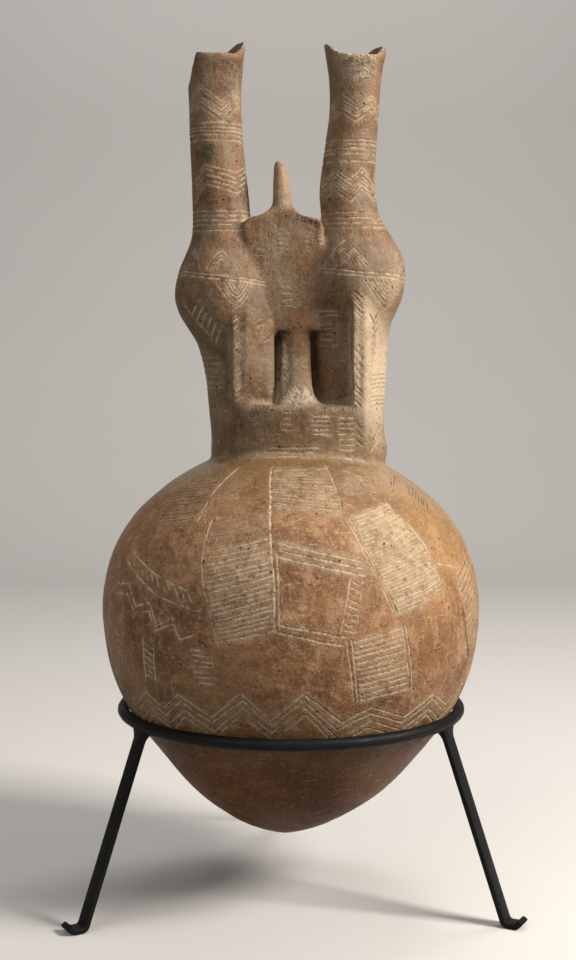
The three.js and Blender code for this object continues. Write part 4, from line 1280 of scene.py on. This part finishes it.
def mottling_group():
    """Fired mottling: dark and pale patches, smudges, streaks of burnishing, flecks, scratches and fine speckle."""
    group, given, result = new_group(
        "Fired mottling", {"Vector": "Vector", "Slip": "Color", "Dark": "Color", "Pale": "Color"},
        {"Color": "Color", "Patches": "Float", "Streaks": "Float", "Flecks": "Float"},
    )
    where = given["Vector"]
    patches = speckle(group, where, 17, 4, 0.6)
    clouds = speckle(group, where, 62, 4, 0.62)
    smudges = speckle(group, where, 150, 4, 0.65)
    flecks = speckle(group, where, 330, 5, 0.72)
    fine = speckle(group, where, 620, 3, 0.7)
    tall = put(group, "ShaderNodeMapping", {"Vector": where, "Scale": (1.0, 1.0, 0.22)}).outputs[0]
    streaks = speckle(group, tall, 330, 3, 0.55)
    flat = put(group, "ShaderNodeMapping", {"Vector": where, "Scale": (0.8, 0.8, 3.4)}).outputs[0]
    scratches = speckle(group, flat, 210, 3, 0.6)
    tone = given["Slip"]
    for mask, low, high, most, towards in (
        (patches, 0.42, 0.66, 0.85, "Dark"), (clouds, 0.50, 0.68, 0.7, "Pale"), (clouds, 0.45, 0.30, 0.55, "Dark"),
        (smudges, 0.46, 0.30, 0.6, "Dark"), (smudges, 0.54, 0.70, 0.55, "Pale"), (streaks, 0.50, 0.66, 0.3, "Pale"),
        (fine, 0.48, 0.30, 0.6, "Dark"),
    ):
        tone = mix(group, spread(group, mask, low, high, 0, most), tone, given[towards])
    scuffs = reckon(group, "MAXIMUM", spread(group, flecks, 0.57, 0.67), spread(group, scratches, 0.59, 0.69))
    tone = mix(group, reckon(group, "MULTIPLY", scuffs, 0.75), tone, given["Pale"])
    for label, socket in (("Flecks", scuffs), ("Color", tone), ("Patches", patches), ("Streaks", streaks)):
        group.links.new(socket, result[label])
    return group


def grit_group():
    """Grit: dark specks and small pits of three sizes, and pale chips."""
    group, given, result = new_group(
        "Grit and pits", {"Vector": "Vector"}, {"Specks": "Float", "Pits": "Float", "Chips": "Float"}
    )
    wander = put(group, "ShaderNodeTexNoise", {"Vector": given["Vector"], "Scale": 700, "Detail": 2})
    shifted = mix(group, 0.0022, given["Vector"], wander.outputs["Color"], "ADD")
    masks = []
    for scale, keep, size in ((210, 0.90, 0.21), (480, 0.82, 0.24), (900, 0.80, 0.3), (260, 0.84, 0.17)):
        cells = put(group, "ShaderNodeTexVoronoi", {"Vector": shifted, "Scale": scale})
        chances = put(group, "ShaderNodeSeparateColor", {"Color": cells.outputs["Color"]}).outputs
        rare = reckon(group, "GREATER_THAN", chances[len(masks) // 3], keep)
        spot = spread(group, cells.outputs["Distance"], size, size * 0.6)
        masks.append(reckon(group, "MULTIPLY", rare, spot))
    dark = reckon(group, "MAXIMUM", reckon(group, "MAXIMUM", *masks[:2]), masks[2])
    group.links.new(dark, result["Specks"])
    group.links.new(reckon(group, "SUBTRACT", 1.0, dark), result["Pits"])
    group.links.new(masks[3], result["Chips"])
    return group


def lime_group():
    """Lime: a white filling that is worn thin in places, with a pale bloom round the lines."""
    group, given, result = new_group(
        "Lime filling", {"Vector": "Vector", "Lines": "Float", "Bloom": "Float"}, {"Fill": "Float", "Bloom": "Float"}
    )
    worn = speckle(group, given["Vector"], 190, 4, 0.65)
    keep = spread(group, worn, 0.36, 0.58, 0.08, 1.0)
    group.links.new(reckon(group, "MULTIPLY", given["Lines"], keep), result["Fill"])
    dust = spread(group, speckle(group, given["Vector"], 95, 4, 0.7), 0.36, 0.62, 0.35, 1.0)
    group.links.new(reckon(group, "MULTIPLY", given["Bloom"], dust), result["Bloom"])
    return group


def clay_material(name, groups, gloss, bloom, crust):
    """Burnished slip over gritty clay: lime in the lines, dust on the necks, crust in the hollows; painted shade in
    the grooves, on the bowl and partly up the necks; painted sheen and painted light on the shoulder; painted
    highlights on the tubes.
    """
    tone = settings().clay
    material, tree, shader = new_material(name)
    where = put(tree, "ShaderNodeTexCoord").outputs["Object"]
    across, _, height = put(tree, "ShaderNodeSeparateXYZ", {"Vector": where}).outputs
    masks = {key: put(tree, "ShaderNodeAttribute", attribute_name=key).outputs["Fac"] for key in Masks.names}
    tones = {"Vector": where, "Slip": tone.slip, "Dark": tone.slip_dark, "Pale": tone.slip_pale}
    fired = put(tree, "ShaderNodeGroup", tones, node_tree=groups["mottling"])
    grit = put(tree, "ShaderNodeGroup", {"Vector": where}, node_tree=groups["grit"])
    lime = put(
        tree, "ShaderNodeGroup", {"Vector": where, "Lines": masks["lime"], "Bloom": masks["haze"]},
        node_tree=groups["lime"],
    )
    clouds = speckle(tree, where, 42, 4, 0.65)

    def times(first, second):
        return reckon(tree, "MULTIPLY", first, second)

    base = crown() - 0.04
    # Golden band under the necks: burnished slip with a painted sheen
    golden_sheen = times(spread(tree, height, base, base + 0.026), spread(tree, height, base + 0.055, base + 0.036))
    # Painted light: the right side of the shoulder, towards the lamp on the right, turns golden
    painted_light_right = times(spread(tree, height, base - 0.075, base - 0.01), spread(tree, across, 0.015, 0.08))
    painted_light_right = times(painted_light_right, spread(tree, height, base + 0.055, base + 0.036, 0, 0.45))
    golden_sheen = reckon(tree, "MAXIMUM", times(golden_sheen, 0.36), painted_light_right)
    paint = mix(tree, golden_sheen, fired.outputs["Color"], tone.golden_sheen)
    paint = mix(tree, spread(tree, masks["ridge"], 0.04, 0.2, 0, 0.28), paint, tone.slip_pale)
    # Partly painted shade: the slip darkens up the necks and onto the shoulder
    paint = mix(tree, spread(tree, height, base - 0.03, base + 0.055), paint, tone.neck, "MULTIPLY")
    # Painted shade: the slip darkens towards the bottom, below the ring
    paint = mix(tree, spread(tree, height, TIP + 0.115, TIP + 0.06), paint, tone.bowl_shade, "MULTIPLY")
    scuffed = spread(tree, height, TIP + 0.125, TIP + 0.08, 0.14, 0.75)
    paint = mix(tree, times(fired.outputs["Flecks"], scuffed), paint, tone.bloom)
    dust = times(spread(tree, height, base + 0.02, base + 0.07, 0, 0.45), spread(tree, clouds, 0.40, 0.62, 0, 1))
    paint = mix(tree, dust, paint, tone.dust)
    tall = put(tree, "ShaderNodeMapping", {"Vector": where, "Scale": (1.0, 1.0, 0.12)}).outputs[0]
    strokes = speckle(tree, tall, 105, 4, 0.6)
    upper = spread(tree, height, base + 0.14, base + 0.19)
    ruddy = times(upper, spread(tree, strokes, 0.50, 0.62, 0, 0.6))
    blush = times(spread(tree, height, base + 0.05, base + 0.09, 0, 0.4), spread(tree, clouds, 0.46, 0.36))
    ruddy = reckon(tree, "MAXIMUM", ruddy, blush)
    paint = mix(tree, ruddy, paint, tone.ruddy)
    # Painted highlights: pale upright streaks on the upper tubes
    paint = mix(tree, times(upper, spread(tree, strokes, 0.46, 0.36, 0, 0.22)), paint, tone.bloom)
    washed = times(spread(tree, masks["wash"], 0.05, 0.9, 0, 0.85), spread(tree, clouds, 0.3, 0.6, 0.7, 1))
    paint = mix(tree, washed, paint, tone.wash)
    hollow = spread(tree, masks["ridge"], -0.03, -0.22, 0, crust)
    patchy = speckle(tree, where, 210, 4, 0.7)
    crusted = times(spread(tree, masks["crust"], 0.1, 0.7, 0, 0.9), spread(tree, patchy, 0.36, 0.58, 0.1, 1))
    paint = mix(tree, reckon(tree, "MAXIMUM", hollow, crusted), paint, tone.crust)
    stained = times(spread(tree, masks["crust"], -0.1, -0.6, 0, 0.9), spread(tree, patchy, 0.40, 0.56, 0.05, 1))
    paint = mix(tree, stained, paint, tone.stain)
    paint = mix(tree, times(grit.outputs["Chips"], 0.45), paint, tone.bloom)
    paint = mix(tree, times(lime.outputs["Bloom"], bloom), paint, tone.bloom)
    # Painted shade in the valleys of the incised lines
    paint = mix(tree, times(masks["groove_shade"], 0.8), paint, (0.060, 0.030, 0.017, 1))
    filled = times(lime.outputs["Fill"], spread(tree, height, base, base + 0.06, 1, 0.72))
    paint = mix(tree, filled, paint, tone.lime)
    paint = mix(tree, times(grit.outputs["Specks"], 0.85), paint, tone.grit)
    tree.links.new(paint, shader.inputs["Base Color"])

    dull = spread(tree, fired.outputs["Patches"], 0.3, 0.7, gloss - 0.06, gloss + 0.1)
    dull = reckon(tree, "ADD", dull, times(fired.outputs["Streaks"], 0.12))
    dull = reckon(tree, "ADD", dull, times(dust, 0.1))
    dull = reckon(tree, "SUBTRACT", dull, times(golden_sheen, 0.3))
    dull = reckon(tree, "SUBTRACT", dull, times(ruddy, 0.2))
    chalky = reckon(tree, "MAXIMUM", lime.outputs["Fill"], times(lime.outputs["Bloom"], 0.6))
    dull = reckon(tree, "ADD", dull, times(chalky, 0.4))
    tree.links.new(dull, shader.inputs["Roughness"])
    shader.inputs["Specular IOR Level"].default_value = 0.2
    coat = reckon(tree, "SUBTRACT", times(golden_sheen, 0.9), times(chalky, 0.9))
    tree.links.new(coat, shader.inputs["Coat Weight"])
    shader.inputs["Coat Roughness"].default_value = 0.26

    relief = reckon(tree, "ADD", speckle(tree, where, 260, 4, 0.6), times(fired.outputs["Streaks"], 0.5))
    relief = reckon(tree, "ADD", relief, times(grit.outputs["Pits"], 1.2))
    relief = reckon(tree, "ADD", relief, times(times(crusted, speckle(tree, where, 520, 3, 0.7)), 3.0))
    relief = reckon(tree, "ADD", relief, times(speckle(tree, where, 900, 3, 0.65), 0.6))
    bumpy(tree, shader, relief, 0.72, 1 * MM)
    return material


def iron_material():
    """Black iron: satin finish over hammered scale, rubbed on its edges."""
    tone = settings().stand
    material, tree, shader = new_material("Black iron")
    where = put(tree, "ShaderNodeTexCoord").outputs["Object"]
    scale = speckle(tree, where, 160, 4, 0.6)
    rub = speckle(tree, where, 45, 3, 0.6)
    paint = mix(tree, spread(tree, rub, 0.45, 0.75, 0, 0.6), tone.iron, tone.worn_iron)
    paint = mix(tree, spread(tree, scale, 0.60, 0.80, 0, 0.3), paint, (0.045, 0.038, 0.032, 1))
    tree.links.new(paint, shader.inputs["Base Color"])
    tree.links.new(spread(tree, scale, 0.3, 0.7, 0.45, 0.62), shader.inputs["Roughness"])
    shader.inputs["Specular IOR Level"].default_value = 0.13
    bumpy(tree, shader, reckon(tree, "ADD", scale, rub), 0.3, 0.8 * MM)
    return material


def paper_material():
    """Pale paper of the floor and backdrop, which throws little light back on the jug."""
    material, tree, shader = new_material("Pale paper")
    where = put(tree, "ShaderNodeTexCoord").outputs["Object"]
    path = put(tree, "ShaderNodeLightPath").outputs
    seen = reckon(tree, "MAXIMUM", path["Is Camera Ray"], path["Is Glossy Ray"])
    seen = reckon(tree, "MAXIMUM", seen, path["Is Transmission Ray"])
    paper = settings().stage.paper
    paint = mix(tree, reckon(tree, "MULTIPLY", speckle(tree, where, 3, 2), 0.06), paper, (1, 1, 1, 1))
    tree.links.new(mix(tree, seen, (0.05, 0.048, 0.045, 1), paint), shader.inputs["Base Color"])
    shader.inputs["Roughness"].default_value = 0.85
    shader.inputs["Specular IOR Level"].default_value = 0.1
    return material


def dress(obj, nodes, body, material):
    """Gives a finished piece its material, its place in the assembly and smooth shading."""
    obj.data.materials.clear()
    obj.data.materials.append(material)
    activate(obj)
    bpy.ops.object.shade_smooth_by_angle(angle=CREASE_ANGLE)
    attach(obj, body)
    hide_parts(*nodes)
    deselect()


# ---------------------------------------------------------------- operators


class JUG_OT_clay_members(bpy.types.Operator):
    """Forms the body, the necks, the panels, the straps and the handle, and lutes them into one clay skin"""

    bl_idname = "jug.clay_members"
    bl_label = "Clay members"

    def execute(self, context):
        size = settings().neck
        necks = [Neck("left"), Neck("right")]
        solids = [body_solid("body_clay")]
        for neck in necks:
            heights = neck_heights(neck.bulb_top, size.rim_height, 60, 46)
            flare = (3 if neck.side == "right" else 1) * MM

            def spread_foot(z):
                return flare * np.exp(-(((z + 4 * MM) / (9 * MM)) ** 2))

            solids.append(neck_solid(f"{neck.side}_neck_clay", neck, heights, spread_foot))
        solids += panel_members() + [sill_member(), post_member()] + strap_members(necks) + [handle_member()]
        skin = clay_skin(solids, necks)
        edges = values_of(skin.data.edges, "vertices", 2, np.int32)
        points, normals = points_of(skin.data), normals_of(skin.data)
        bend = -np.sum((mean_of_neighbours(points, edges) - points) * normals, 1) / settings().clay.grain
        for _ in range(3):
            bend = mean_of_neighbours(bend, edges)
        write_mask(skin.data, "ridge", bend * 4)
        write_mask(skin.data, "crust", stain(points, CRUSTS))
        write_mask(skin.data, "wash", stain(points, WASHES))
        return {"FINISHED"}


class JUG_OT_incise(bpy.types.Operator):
    """Cuts the incised pattern into the clay skin"""

    bl_idname = "jug.incise"
    bl_label = "Incised pattern"

    def execute(self, context):
        scribe = Scribe(bpy.data.objects["jug_skin"], [Neck("left"), Neck("right")])
        incise_body(scribe)
        incise_necks(scribe)
        incise_frame(scribe)
        scribe.engrave()
        return {"FINISHED"}


class JUG_OT_hollow(bpy.types.Operator):
    """Hollows the body and the necks, and breaks the chip out of the left mouth"""

    bl_idname = "jug.hollow"
    bl_label = "Hollow and chip"

    def execute(self, context):
        size = settings().neck
        skin = bpy.data.objects["jug_skin"]
        cavity = body_solid("cavity", -settings().body.wall)
        cut(skin, cavity, "DIFFERENCE")
        discard(cavity)
        for neck in (Neck("left"), Neck("right")):
            heights = neck_heights(neck.mouth_start, size.rim_height + 14 * MM, 70, 20)

            def bore(z):
                thin = ease(neck.mouth_start, size.rim_height, z)
                flare = np.maximum(z - size.rim_height, 0) * 0.3
                return flare - size.wall + (size.wall - size.lip_wall) * thin

            hole = neck_solid("bore", neck, heights, bore, saddle=False)
            cut(skin, hole, "DIFFERENCE")
            discard(hole)
        for middle, reach, lean in (((-74.6, 0, 262), (20, 90, 60), -17), ((-73, 0, 280.5), (44, 90, 34), 2)):
            bite = broken_edge(np.array(middle) * MM, np.array(reach) * MM, math.radians(lean))
            cut(skin, bite, "DIFFERENCE")
            discard(bite)
        return {"FINISHED"}


class JUG_OT_part_clay(bpy.types.Operator):
    """Parts the clay skin into the members that it was built from"""

    bl_idname = "jug.part_clay"
    bl_label = "Clay pieces"

    def execute(self, context):
        groups = {"mottling": mottling_group(), "grit": grit_group(), "lime": lime_group()}
        burnished = clay_material("Burnished clay", groups, 0.42, 0.42, 0.2)
        worn = clay_material("Worn clay", groups, 0.54, 0.46, 0.4)
        skin = bpy.data.objects["jug_skin"]
        masks = Masks(skin.data)
        size = settings().frame
        girth = settings().body.girth_height - settings().body.height

        def slab(low, high):
            return block("slab", (-FAR, -FAR, low), (FAR, FAR, high))

        def part(source, name, solid, operation="INTERSECT"):
            piece = copy_of(source, name)
            cut(piece, solid, operation)
            masks.mend(piece.data)
            return piece

        body_reach = body_solid("body_reach", PART_REACH)
        upper = part(skin, "upper", body_reach, "DIFFERENCE")
        cut(skin, body_reach, "INTERSECT")
        for name, low, high in (("body_bowl", -FAR, girth), ("body_dome", girth, FAR)):
            solid = slab(low, high)
            dress(thinned(part(skin, f"{name}_skin", solid)), [name], "jug", burnished)
            discard(solid)
        discard(skin, body_reach)

        for neck in (Neck("left"), Neck("right")):
            heights = np.linspace(-60 * MM, 300 * MM, 150)

            def around_neck(z):
                return PART_REACH + 9 * MM * np.exp(-np.maximum(z, 0) / (5 * MM))

            reach = neck_solid("neck_reach", neck, heights, around_neck, saddle=False)
            whole = part(upper, "neck", reach)
            cut(upper, reach, "DIFFERENCE")
            bounds = (
                ("stem", -FAR, neck.stem_top), ("bulb", neck.stem_top, neck.bulb_top),
                ("tube", neck.bulb_top, neck.mouth_start), ("mouth", neck.mouth_start, FAR),
            )
            for kind, low, high in bounds:
                solid = slab(low, high)
                name = f"{neck.side}_{kind}"
                dress(part(whole, f"{name}_skin", solid), [name], "jug", burnished)
                discard(solid)
            discard(whole, reach)

        sill, under, top = size.sill_height, size.panel_underside, size.panel_top
        front, web = size.panel_front, size.web_back - size.web_thickness - 0.5 * MM
        for name, low, high, slot, material in (
            ("neck_handle", (-FAR, size.web_back + 2.5 * MM, -FAR), (FAR, FAR, FAR), "burnished_clay", burnished),
            ("upper_horn", (-FAR, -FAR, top), (FAR, FAR, FAR), "worn_clay", worn),
            ("lower_panel", (-FAR, -FAR, -FAR), (FAR, -12 * MM, sill), "worn_clay", worn),
            ("lower_post", (-8 * MM, -FAR, sill), (21 * MM, web, under), "worn_clay", worn),
            ("left_strap", (-FAR, -FAR, sill), (-8 * MM, web, under), "worn_clay", worn),
            ("right_strap", (21 * MM, -FAR, sill), (FAR, front - 1.2 * MM, 0.14), "worn_clay", worn),
        ):
            solid = block("slab", low, high)
            dress(without_crumbs(part(upper, f"{name}_skin", solid)), [name], "jug", material)
            cut(upper, solid, "DIFFERENCE")
            discard(solid)
        masks.mend(upper.data)
        upper.name = upper.data.name = "upper_panel_skin"
        dress(without_crumbs(upper), ["upper_panel"], "jug", worn)
        return {"FINISHED"}


class JUG_OT_stand(bpy.types.Operator):
    """Makes the iron ring, its three bent legs and the welds between them"""

    bl_idname = "jug.stand"
    bl_label = "Iron stand"

    def execute(self, context):
        size = settings().stand
        iron = iron_material()
        deselect()
        bpy.ops.mesh.primitive_torus_add(
            major_segments=220, minor_segments=28, major_radius=size.ring_radius, minor_radius=size.rod / 2
        )
        ring = added("stand_ring_iron")
        move_points(ring.data, points_of(ring.data) + AXIS + [0, 0, size.ring_height])
        roughen(ring, HAMMER_MARKS, 0.25 * MM)
        dress(ring, ["stand_ring"], "stand", iron)

        top = size.ring_height - size.rod / 2 - 0.9 * MM
        half, bend = size.bar_thickness / 2, size.bend
        start = size.ring_radius + (top - half - bend * (1 - math.sin(size.splay))) * math.tan(size.splay)
        start += bend * math.cos(size.splay)

        def on_bend(first, turn):
            return np.array([first + bend * math.sin(turn), half + bend * (1 - math.cos(turn))])

        lean, lift = size.splay - math.pi / 2, math.radians(55)
        head, foot = np.array([size.ring_radius, top]), on_bend(start, lean)
        line = [head * (1 - share) + foot * share for share in np.linspace(0, 1, 14)[:-1]]
        line += [on_bend(start, lean * (1 - share)) for share in np.linspace(0, 1, 10)]
        line += [on_bend(start + size.pad, lift * share) for share in np.linspace(0, 1, 10)]
        line.append(line[-1] + size.toe * np.array([math.cos(lift), math.sin(lift)]))
        line = np.array(line)
        round_off = 1.1 * MM
        broad, thick = size.bar_width / 2 - round_off, half - round_off
        section = []
        for x, y, first in ((1, 1, 0), (-1, 1, 90), (-1, -1, 180), (1, -1, 270)):
            for turn in np.radians(np.linspace(first, first + 90, 5)):
                section.append((x * broad + round_off * math.cos(turn), y * thick + round_off * math.sin(turn)))
        turn = full_turn(40)
        square = np.stack([np.cos(turn), np.sin(turn)])
        square = np.sign(square) * np.abs(square) ** 0.7
        ripple = 1 + 0.015 * np.sin(turn * 9) + 0.02 * np.cos(turn * 4 + 1.3)
        up = np.array([0, 0, 1])
        for side, azimuth in (("left", 210), ("right", 330), ("back", 90)):
            azimuth = math.radians(azimuth) + size.turn
            out = np.array([math.cos(azimuth), math.sin(azimuth), 0])
            aside = np.array([-out[1], out[0], 0])
            rings = []
            for (radius, z), (dr, dz) in zip(line, directions(line)):
                centre = out * radius + up * z + AXIS
                rings.append([centre + aside * a + (out * -dz + up * dr) * b for a, b in section])
            leg = loft(f"stand_leg_{side}_iron", rings)
            roughen(leg, HAMMER_MARKS, 0.2 * MM, 0.9)
            dress(leg, [f"stand_leg_{side}"], "stand", iron)

            rings = []
            for along_leg, deep, wide in (
                (-7.5, 2.15, 6.2), (-6, 2.3, 6.35), (-4.5, 2.6, 6.6), (-3, 3.0, 6.95), (-1.5, 3.5, 7.4),
                (-0.3, 4.0, 7.9), (0.8, 4.4, 8.4), (1.8, 4.5, 8.5), (2.8, 4.1, 7.8), (3.5, 3.2, 6.4),
            ):
                b, a = square[0] * deep * ripple * MM, square[1] * wide * ripple * MM
                r = b * math.cos(size.splay) - along_leg * MM * math.sin(size.splay)
                z = b * math.sin(size.splay) + along_leg * MM * math.cos(size.splay)
                r, z = (size.ring_radius + r)[:, None], (top + z)[:, None]
                rings.append(out * r + aside * a[:, None] + up * z + AXIS)
            bead = loft(f"stand_weld_{side}_iron", rings)
            dress(bead, [f"stand_weld_{side}"], "stand", iron)
        return {"FINISHED"}


def add_lamp(scene, name, place, aim, size, power, tint):
    """A square lamp that faces a point."""
    data = bpy.data.lights.new(name, "AREA")
    data.size = size
    data.energy = power
    data.color = tint
    lamp = bpy.data.objects.new(name, data)
    scene.collection.objects.link(lamp)
    lamp.location = place
    lamp.rotation_euler = (aim - place).to_track_quat("-Z", "Y").to_euler()


class JUG_OT_stage(bpy.types.Operator):
    """Sets the pale floor and backdrop, the lamps and the camera"""

    bl_idname = "jug.stage"
    bl_label = "Stage"

    def execute(self, context):
        stage = settings().stage
        scene = context.scene
        backdrop, lens, tilt_down, ambient = 2.4, 60.11, 4.46, 0.14
        deselect()
        bpy.ops.mesh.primitive_plane_add(size=12)
        floor = added("paper_floor")
        with editing("DESELECT"):
            pass
        for edge in floor.data.edges:
            edge.select = all(floor.data.vertices[i].co.y > 5 for i in edge.vertices)
        bpy.context.tool_settings.mesh_select_mode = (False, True, False)
        with editing():
            bpy.ops.mesh.extrude_region_move(TRANSFORM_OT_translate={"value": (0, 0, 6)})
        points = points_of(floor.data)
        points[points[:, 1] > 5, 1] = backdrop
        move_points(floor.data, points)
        apply_modifier(floor, "BEVEL", width=0.9, segments=12, limit_method="ANGLE")
        floor.data.materials.append(paper_material())
        activate(floor)
        bpy.ops.object.shade_smooth()

        camera = bpy.data.cameras.new("camera")
        eye = bpy.data.objects.new("camera", camera)
        scene.collection.objects.link(eye)
        camera.sensor_width = 36
        camera.lens = lens
        eye.location = (AXIS_X - 2.1 * MM, AXIS_Y - stage.distance, stage.eye)
        eye.rotation_euler = (math.radians(90 - tilt_down), 0, 0)
        scene.camera = eye

        aim = Vector((AXIS_X, AXIS_Y, 0.33))
        for name, azimuth, elevation, away, size, power, tint in (
            ("key", 65, 31, 1.5, 0.5, stage.key, (1, 0.94, 0.86)),
            ("fill", -36, 30, 1.7, 1.4, stage.key * 0.27, (1, 0.98, 0.95)),
            ("top", 150, 58, 1.3, 0.4, stage.key * 0.12, (1, 0.96, 0.9)),
        ):
            turn, lift = math.radians(azimuth), math.radians(elevation)
            way = Vector((math.sin(turn) * math.cos(lift), -math.cos(turn) * math.cos(lift), math.sin(lift)))
            add_lamp(scene, name, aim + way * away, aim, size, power, tint)
        behind, wall = Vector((0, 1.0, 2.2)), Vector((0, backdrop, 0.5))
        add_lamp(scene, "backdrop", behind, wall, 1.6, stage.key * 0.52, (1, 0.98, 0.96))
        world = bpy.data.worlds.new("studio")
        scene.world = world
        world.use_nodes = True
        sky = world.node_tree.nodes["Background"].inputs
        sky["Color"].default_value = (1.0, 0.97, 0.93, 1)
        sky["Strength"].default_value = ambient
        scene.view_settings.view_transform = "Standard"
        return {"FINISHED"}


class JUG_PT_panel(bpy.types.Panel):
    """Lists the steps that make the jug and its stand"""

    bl_idname = "JUG_PT_panel"
    bl_label = "Double-necked jug"
    bl_space_type = "VIEW_3D"
    bl_region_type = "UI"
    bl_category = "Jug"

    def draw(self, context):
        for step in OPERATORS:
            self.layout.operator(step.bl_idname)


SETTINGS = (JugBodySizes, JugNeckSizes, JugFrameSizes, JugClaySettings, JugStandSizes, JugStageSettings, JugSettings)
OPERATORS = (JUG_OT_clay_members, JUG_OT_incise, JUG_OT_hollow, JUG_OT_part_clay, JUG_OT_stand, JUG_OT_stage)


def register():
    """Registers the settings, the operators and the panel."""
    for kind in SETTINGS + OPERATORS + (JUG_PT_panel,):
        bpy.utils.register_class(kind)
    bpy.types.Scene.jug = bpy.props.PointerProperty(type=JugSettings)


def unregister():
    """Removes what register added."""
    del bpy.types.Scene.jug
    for kind in reversed(SETTINGS + OPERATORS + (JUG_PT_panel,)):
        bpy.utils.unregister_class(kind)


def main():
    """Registers the settings and makes the jug, its stand and the stage in order."""
    register()
    bpy.ops.jug.clay_members()
    bpy.ops.jug.incise()
    bpy.ops.jug.hollow()
    bpy.ops.jug.part_clay()
    bpy.ops.jug.stand()
    bpy.ops.jug.stage()


if __name__ == "__main__":
    main()
